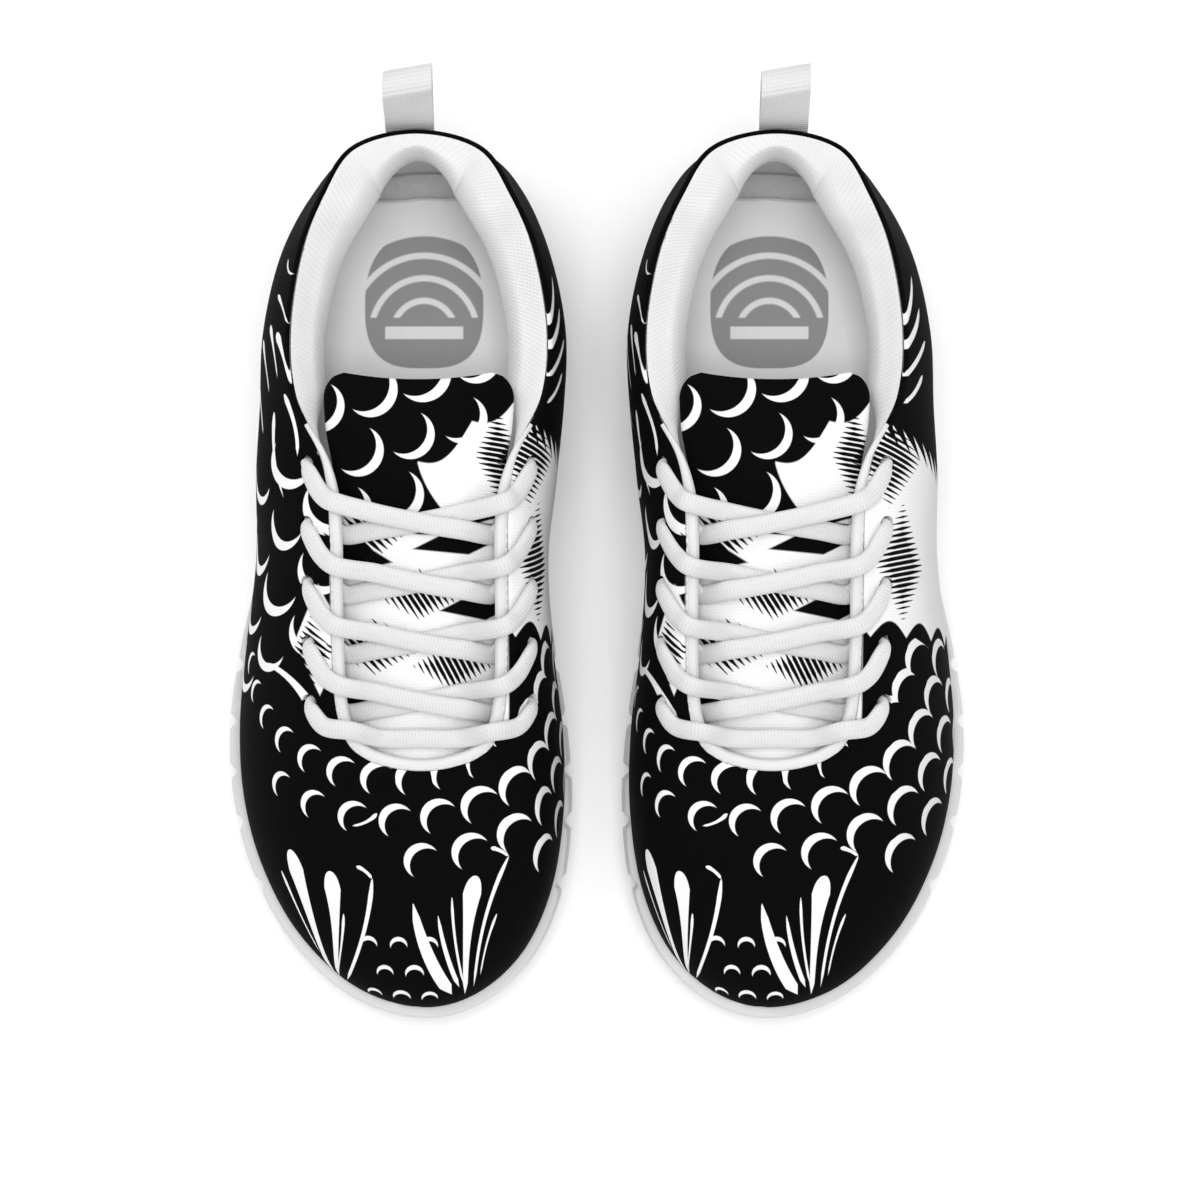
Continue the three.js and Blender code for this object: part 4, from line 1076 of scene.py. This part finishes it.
def cross_bar():
    """The straight bar over the lowest row."""
    y = EYELET_FIRST
    left, right = (out_of_eyelet(sign, y, (0.6, 2.4, 6.6, 9)) for sign in (-1, 1))
    middle = [on_tongue(s * 12, y - 11, LIFT + STACK - 1) for s in (1, 0, -1)]
    return right + middle + left[::-1]


def tucked_end(sign):
    """The loose end inside the shoe, from the top eyelet to the tip."""
    u, v = locate(sign * EYELET_OUT, EYELET_FIRST + (EYELET_ROWS - 1) * EYELET_PITCH)
    depth = FABRIC + STAY + 3 * GAP + LINING + LACE_THICK / 2 + 2
    steps = (
        (0, 0, -UNDER + 1.2, NECK + 0.05),
        (0.0025, -0.035, -depth + 1.2, 0.68),
        (0.007, -0.1, -depth, 0.75),
        (0.014, -0.2, -depth, 0.85),
        (0.024, -0.3, -depth, 0.85),
        (0.036, -0.38, -depth, 0.7),
    )
    to_toe = -1 if sign < 0 else 1
    return [
        (wall(u + to_toe * du, v + dv, -height), face_normal(u + to_toe * du, v + dv), width)
        for du, dv, height, width in steps
    ]


def lace_route():
    """One cord: down one set of diagonals, across the bar and up the other set."""

    def run(first):
        route, sign = tucked_end(first)[::-1], first
        for n in range(EYELET_ROWS - 1, 0, -1):
            route += strand(n, sign)
            sign = -sign
        return route

    return run(1) + cross_bar() + run(-1)[::-1]


ROUTE = lace_route()


def cord_frames(path, ups):
    """Unit vectors across and through a cord: across = tangent x up where they differ enough, carried on from
    the last ring elsewhere, so that the cord turns without twisting."""
    tangent = unit(np.gradient(path, axis=0))
    across = np.zeros_like(path)
    last = np.array([0.0, 1.0, 0.0])
    for k in range(len(path)):
        wanted = np.cross(tangent[k], ups[k])
        size = np.linalg.norm(wanted)
        if size > 0.3:
            wanted = wanted / size
            if wanted @ last < 0:
                wanted = -wanted
            last = wanted if k == 0 else last * 0.8 + wanted * 0.2 * min(1.0, size * 1.4)
        last = last - tangent[k] * (last @ tangent[k])
        last = last / np.linalg.norm(last)
        across[k] = last
    return across, np.cross(tangent, across)


def make_lace(side):
    """Flat-oval braided cord carried along its threading, with a crimped tip on each end."""
    places, ups, widths = (np.array(part) for part in zip(*ROUTE))
    samples = len(places) * 9
    path = open_curve(places, samples)
    up = unit(open_curve(ups, samples))
    width = open_curve(np.stack([widths, widths * 0, widths * 0], -1), samples)[:, 0]
    across, through = cord_frames(path, up)
    half = bpy.context.scene.shoe_sizes.lace_width * 500
    half_width, half_thick = half * np.clip(width, NECK, 1), LACE_THICK / 2 * (1.08 - 0.08 * width)
    rings = sweep(path, across, through, half_width, half_thick, LACE_SIDES, 2.3)
    obj = capped("cord", side, rings, ribbon_uv(path, LACE_SIDES, 14.0))
    finish_piece(obj, side, "lace", "lace", "lace")
    for end, node in ((0, "inner_aglet"), (-1, "outer_aglet")):
        tip = places[end]
        direction = unit(places[end] - places[1 if end == 0 else -2])
        t = np.linspace(0, 1, 30)
        line = tip + direction * (GAP + TIP_LENGTH * t)[:, None]
        radius = TIP_RADIUS * (1 - 0.25 * smooth(t, 0.9, 1))
        for crimp in (0.15, 0.3):
            radius = radius * (1 - 0.12 * np.exp(-(((t - crimp) / 0.03) ** 2)))
        sideways = unit(np.cross(direction, [0.3, 0.9, 0.2]))
        third = np.cross(direction, sideways)
        rings = sweep(line, np.tile(sideways, (30, 1)), np.tile(third, (30, 1)), radius, radius, TIP_SIDES, 2.0)
        tip_piece = capped(f"{node}_tip", side, rings, ribbon_uv(line, TIP_SIDES, 9.0))
        finish_piece(tip_piece, side, "aglet", "tip", node)


# ---- pull tab ----
def on_heel(x, v, out):
    """A point on the webbing sewn to the heel."""
    per_column = face(1 / AROUND, v)[..., 0]
    return wall(x / per_column / AROUND, v, -np.asarray(out, float))


def make_pull_tab(side):
    """One length of webbing: up the heel, round the loop and back down, as a flat section along that path."""
    height = COLLAR_HEIGHT - HEEL_FOAM
    start_v, end_v = TAB_V - (0.8 + TAB_ANCHOR) / height, TAB_V - 0.8 / height
    foot = on_heel(TAB_ASIDE, np.array(TAB_V), TAB_PLY + GAP)
    lean = math.radians(TAB_LEAN)
    rise, back = np.array([0, math.sin(lean), math.cos(lean)]), np.array([0, math.cos(lean), -math.sin(lean)])
    mid = TAB_PLY / 2

    def climb(out, levels):
        return np.stack([on_heel(TAB_ASIDE, v, out) for v in levels])

    radius = TAB_GAP / 2 + mid
    top = TAB_LENGTH - TAB_GAP / 2 - TAB_PLY
    turn = np.linspace(0, np.pi, 13)
    loop = [foot + rise * (top + radius * math.sin(a)) - back * radius * math.cos(a) for a in turn]
    inner = [foot + rise * (top * k) - back * (mid + 0.15 + (radius - mid) * k**1.3) for k in (0.12, 0.35, 0.7)]
    outer = [foot + rise * (top * k) + back * (mid + 0.15 + (radius - mid) * k**1.3) for k in (0.7, 0.35, 0.12)]
    levels = np.linspace(start_v, end_v, 5)
    first, last = climb(GAP + mid, levels), climb(GAP + TAB_PLY + mid + 0.05, levels[::-1])
    path = open_curve(np.array([*first, *inner, *loop, *outer, *last]), 260)
    tangent = unit(np.gradient(path, axis=0))
    sideways = np.tile([1.0, 0, 0], (len(path), 1))
    through = np.cross(tangent, sideways)
    rings = sweep(path, sideways, through, TAB_WIDTH / 2 - 0.15, TAB_PLY / 2 - 0.06, TAB_SIDES, 9.0)
    on_wall = smooth(foot[2] + 2 - path[:, 2], 0, 3)
    curve = rings[..., 0] - path[:, None, 0]
    rings[..., 1] += 0.17 * side * curve * smooth(path[:, 2], foot[2] + 4, foot[2] + 20)[:, None]
    rings[..., 1] -= on_wall[:, None] * 0.014 * curve**2
    lengths = length_along(path)
    width_way = np.append(rings[0, :, 0], rings[0, 0, 0])
    uv = np.stack(np.broadcast_arrays(width_way[None], lengths[:, None]), -1)
    obj = capped("heel_loop", side, rings, uv * 0.001)
    finish_piece(obj, side, "webbing", "webbing", "pull_tab_anchor", "pull_tab_loop", rides=False)
    base = place(foot, side)
    named(side, "shoe")
    named(side, "pull_tab_flap")
    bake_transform(obj)


# ---- sole ----
def plate_piece(name, side, loops, top_relief=None, bottom_relief=None, across=40, sharp=35):
    """A closed plate: a rim through a stack of loops, and two faces laid like ladder rungs from side to side."""
    skin = Skin()
    rim_grid = np.stack(loops, 1)
    plan = rim_grid[..., :2]
    skin.add(rim_grid, cloth_uv(plan, side), closed=True)
    count = len(loops[0])
    half = count // 2
    for loop, relief, flip in ((loops[0], bottom_relief, True), (loops[-1], top_relief, False)):
        k = np.arange(half + 1)
        a, b = loop[k], loop[(count - k) % count]
        t = np.linspace(0, 1, across + 1)[None, :, None]
        grid = a[:, None] * (1 - t) + b[:, None] * t
        if relief is not None:
            shift = relief(grid[..., 0], grid[..., 1], t[..., 0] * np.ones(grid.shape[:2]))
            shift[:, 0] = shift[:, -1] = 0
            shift[0] = shift[-1] = 0
            grid[..., 2] += shift
        skin.add(grid if flip else grid[:, ::-1], cloth_uv((grid if flip else grid[:, ::-1])[..., :2], side))
    return skin.build(name, side, sharp)


def sole_loop(inset, height, count):
    """Points round the sole, drawn in from its edge, at a height that may change along the shoe."""
    u = np.arange(count) / count
    p = sole_edge(u) - outward(u) * (inset(u) if callable(inset) else np.full(count, float(inset)))[:, None]
    p[:, 2] = height(p[:, 1])
    return p


def edge_blocks(u):
    """Notches between the edge's tread blocks: minus 2.3 e^-((y - centre) / 1.7)^4 at each groove by the ball."""
    y = sole_edge(u)[:, 1]
    out = np.zeros(len(u))
    for centre in GROOVES[1:6]:
        out -= 2.3 * np.exp(-(((y - centre) / 1.7) ** 4))
    return out


def make_sole(side):
    """Midsole: its side wall follows (inset, share of the height) pairs. Outsole: cup edge, cross grooves and
    ribs. Board and insole: plates on the same outline, drawn in."""
    count = 560

    def base(y):
        return spring(y) + TREAD + GAP

    def at(share):
        return lambda y: base(y) + (feather(y) - base(y)) * share

    profile = (
        (3.2, 0.0), (2.2, 0.05), (1.7, 0.14), (1.5, 0.24), (1.65, 0.27), (1.65, 0.3), (1.35, 0.33), (0.95, 0.45),
        (0.7, 0.6), (0.6, 0.74), (0.65, 0.82), (0.9, 0.84), (0.9, 0.86), (0.65, 0.88), (0.75, 0.94), (1.1, 0.985),
        (1.7, 1.0),
    )
    loops = [
        sole_loop(lambda u, i=inset, k=share: i - edge_blocks(u) * (1 - 0.35 * k), at(share), count)
        for inset, share in profile
    ]
    midsole = plate_piece("foam_midsole", side, loops, sharp=50)
    finish_piece(midsole, side, "midsole_foam", "sole", "midsole")

    def tread(x, y, t):
        """Cross grooves 2 mm deep where y is near a groove line, ribs 0.5 mm deep between them."""
        groove = sum(np.exp(-(((y - centre) / 1.35) ** 6)) for centre in GROOVES)
        rib = 0.5 * smooth(np.sin((y + 0.35 * np.abs(x)) * 2 * np.pi / 6.5), 0.2, 0.6)
        inside = smooth(t, 0.05, 0.12) * smooth(1 - t, 0.05, 0.12)
        return np.maximum(2.0 * groove, rib * inside)

    cup = ((1.2, 0), (0.5, 0.5), (0.1, 1.5), (0, 3.2), (0.25, TREAD - 0.2), (0.6, TREAD))
    loops = [
        sole_loop(lambda u, i=inset: i - edge_blocks(u), lambda y, h=height: spring(y) + h, count)
        for inset, height in cup
    ]
    outsole = plate_piece("tread", side, loops, bottom_relief=tread, across=60, sharp=30)
    finish_piece(outsole, side, "outsole_rubber", "tread", "outsole")

    lining_inset = FABRIC + COUNTER + LINING + 5 * GAP

    def foot_inset(u):
        return np.linalg.norm(face(u, np.zeros_like(u))[:, :2] - sole_edge(u)[:, :2], axis=1) + lining_inset

    board = [sole_loop(foot_inset, lambda y, h=h: feather(y) + GAP + h, 240) for h in (0, BOARD)]
    board = plate_piece("board", side, board, across=20)
    finish_piece(board, side, "stiffener", "board", "lasting_board")

    def insole_inset(u):
        return foot_inset(u) + INSOLE_CLEARANCE + 6 * (1 - smooth(seat(u), 0.4, 2.2))

    def thick(y):
        return INSOLE - 0.8 * (1 - smooth(y, -40, 60))

    floor = 2 * GAP + BOARD
    pad = [
        sole_loop(lambda u: insole_inset(u) + 0.3, lambda y: feather(y) + floor, 300),
        sole_loop(insole_inset, lambda y: feather(y) + floor + 0.5, 300),
        sole_loop(insole_inset, lambda y: feather(y) + floor + thick(y) - 0.4, 300),
        sole_loop(lambda u: insole_inset(u) + 0.5, lambda y: feather(y) + floor + thick(y), 300),
    ]

    def dish(x, y, t):
        """The heel cup: the middle lies a little lower than the rim."""
        return -1.3 * np.sin(np.pi * t) ** 0.7 * smooth(y, -20, 60)

    insole = plate_piece("insole_pad", side, pad, top_relief=dish, across=48)
    finish_piece(insole, side, "insole", "insole", "insole", rides=False)
    named(side, "shoe")
    named(side, "insole_pad")
    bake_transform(insole)


# ---- stitching ----
def stitch_row(path, up, length, width):
    """Short threads laid end to end along a path: six-sided beads whose half width is the fourth root curve
    sqrt(1 - (2t - 1)^4), raised in the middle."""
    gap = 0.55
    along = length_along(path)
    count = int(along[-1] // (length + gap))
    starts = (np.arange(count) + 0.5) * (along[-1] / count) - length / 2
    t = np.linspace(0, 1, 5)
    at = starts[:, None] + t[None] * length
    points = np.stack([np.interp(at, along, path[:, k]) for k in range(3)], -1)
    ups = unit(np.stack([np.interp(at, along, up[:, k]) for k in range(3)], -1))
    tangent = unit(np.gradient(points, axis=1))
    across = unit(np.cross(tangent, ups))
    swell = np.sqrt(np.clip(1 - (2 * t - 1) ** 4, 0.05, 1))[None, :, None, None] * width / 2
    angle = np.linspace(0, 2 * np.pi, 6, endpoint=False)
    c, s = np.cos(angle)[:, None], np.sin(angle)[:, None]
    ring = c * across[:, :, None] + s * ups[:, :, None]
    crown = ups[:, :, None] * (width * 0.2) * np.sin(np.pi * t)[None, :, None, None]
    return points[:, :, None] + ring * swell + crown


def make_stitching(side):
    """Seams: beads of thread beside the throat tape, down the back of the heel and round the pull tab."""
    sizes = bpy.context.scene.shoe_sizes
    length, width = sizes.stitch_length * 1000, sizes.stitch_width * 1000
    edge, up, inward = rim(np.linspace(10.4, AROUND - 10.4, 400) / AROUND)
    rows = [(edge + inward * 0.9 + up * 0.2, unit(up - inward * 0.5))]
    v = np.linspace(0.05, 0.6, 60)
    for x in (-1.6, 1.6):
        rows.append((np.stack([on_heel(x, k, 0.12) for k in v]), np.stack([face_normal(0.0, k) for k in v])))
    skin = Skin()
    for path, up in rows:
        for bead in stitch_row(path, up, length, width):
            skin.add(drawn_in(bead))
    obj = skin.build("stitching", side, 80)
    finish_piece(obj, side, "binding", "thread")


# ---- operators ----
def maker(label, text, make):
    """An operator class that runs one maker on both shoes."""
    word = label.lower().replace(" ", "_")

    def execute(self, context):
        for side in SIDES:
            make(side)
        return {"FINISHED"}

    return type(
        f"SHOES_OT_{word}", (bpy.types.Operator,),
        {"__doc__": text, "bl_idname": f"shoes.{word}", "bl_label": label,
         "bl_options": {"REGISTER", "UNDO"}, "execute": execute},
    )


PIECE_OPERATORS = (
    maker("Soles", "Makes the outsoles, midsoles, boards and insoles", make_sole),
    maker("Uppers", "Makes the printed mesh uppers with their eyelets", make_upper),
    maker("Inner layers", "Makes the stiffeners, foam and lining", make_hidden_layers),
    maker("Collars", "Makes the padded collar linings", make_collar),
    maker("Bindings", "Makes the tape round each throat", make_binding),
    maker("Tongues", "Makes the padded tongues and their backing", make_tongue),
    maker("Laces", "Makes the threaded laces and their tips", make_lace),
    maker("Pull tabs", "Makes the webbing loops at the heels", make_pull_tab),
    maker("Stitching", "Makes the rows of sewing thread", make_stitching),
)


class SHOES_OT_stage(bpy.types.Operator):
    """Makes the pale floor, the soft lights and the camera straight above the pair"""

    bl_idname = "shoes.stage"
    bl_label = "Stage"
    bl_options = {"REGISTER", "UNDO"}

    def execute(self, context):
        scene = context.scene
        steps = np.linspace(-FLOOR_HALF, FLOOR_HALF, FLOOR_POINTS)
        gx, gy = np.meshgrid(steps, steps, indexing="ij")
        mesh = bpy.data.meshes.new("floor")
        index = np.arange(FLOOR_POINTS**2).reshape(FLOOR_POINTS, FLOOR_POINTS)
        points = np.stack([gx, gy, gx * 0], -1).reshape(-1, 3)
        mesh.from_pydata(points.tolist(), [], faces_of(index).reshape(-1, 4).tolist())
        floor = bpy.data.objects.new("floor", mesh)
        scene.collection.objects.link(floor)
        f = Finish("studio_floor", (0.93, 0.93, 0.93))
        f.set(Roughness=0.9, Specular_IOR_Level=0.1)
        mesh.materials.append(f.material)
        world = bpy.data.worlds.new("studio")
        world.use_nodes = True
        world.node_tree.nodes["Background"].inputs[0].default_value = (1, 1, 1, 1)
        world.node_tree.nodes["Background"].inputs[1].default_value = WORLD_LIGHT
        scene.world = world
        for name, spot, energy, width in LIGHTS:
            data = bpy.data.lights.new(name, "AREA")
            data.energy, data.size = energy, width
            lamp = bpy.data.objects.new(name, data)
            lamp.location = spot
            direction = Vector(LIGHT_AIM) - Vector(spot)
            lamp.rotation_euler = direction.to_track_quat("-Z", "Y").to_euler()
            scene.collection.objects.link(lamp)
        camera_data = bpy.data.cameras.new("camera")
        camera_data.sensor_width, camera_data.lens = 36.0, CAMERA_LENS
        camera_data.clip_start, camera_data.clip_end = 0.05, 20
        camera = bpy.data.objects.new("camera", camera_data)
        camera.location = (0.001, (VIEW_MIDDLE + SHIFT) * 0.001, CAMERA_HEIGHT)
        scene.collection.objects.link(camera)
        scene.camera = camera
        scene.view_settings.view_transform = "Standard"
        return {"FINISHED"}


class SHOES_PT_panel(bpy.types.Panel):
    """Lists the pieces of the shoes"""

    bl_label = "Cheer shoes"
    bl_space_type = "VIEW_3D"
    bl_region_type = "UI"
    bl_category = "Shoes"

    def draw(self, context):
        for group in (context.scene.shoe_sizes, context.scene.shoe_colours):
            for name in group.__annotations__:
                self.layout.prop(group, name)
        for operator in (SHOES_OT_stage, *PIECE_OPERATORS):
            self.layout.operator(operator.bl_idname)


CLASSES = (ShoeSizes, ShoeColours, SHOES_OT_stage, *PIECE_OPERATORS, SHOES_PT_panel)


def register():
    for cls in CLASSES:
        bpy.utils.register_class(cls)
    bpy.types.Scene.shoe_sizes = bpy.props.PointerProperty(type=ShoeSizes)
    bpy.types.Scene.shoe_colours = bpy.props.PointerProperty(type=ShoeColours)


def unregister():
    del bpy.types.Scene.shoe_colours, bpy.types.Scene.shoe_sizes
    for cls in reversed(CLASSES):
        bpy.utils.unregister_class(cls)


def main():
    register()
    bpy.ops.shoes.stage()
    for operator in PIECE_OPERATORS:
        getattr(bpy.ops.shoes, operator.bl_idname.split(".")[1])()


if __name__ == "__main__":
    main()
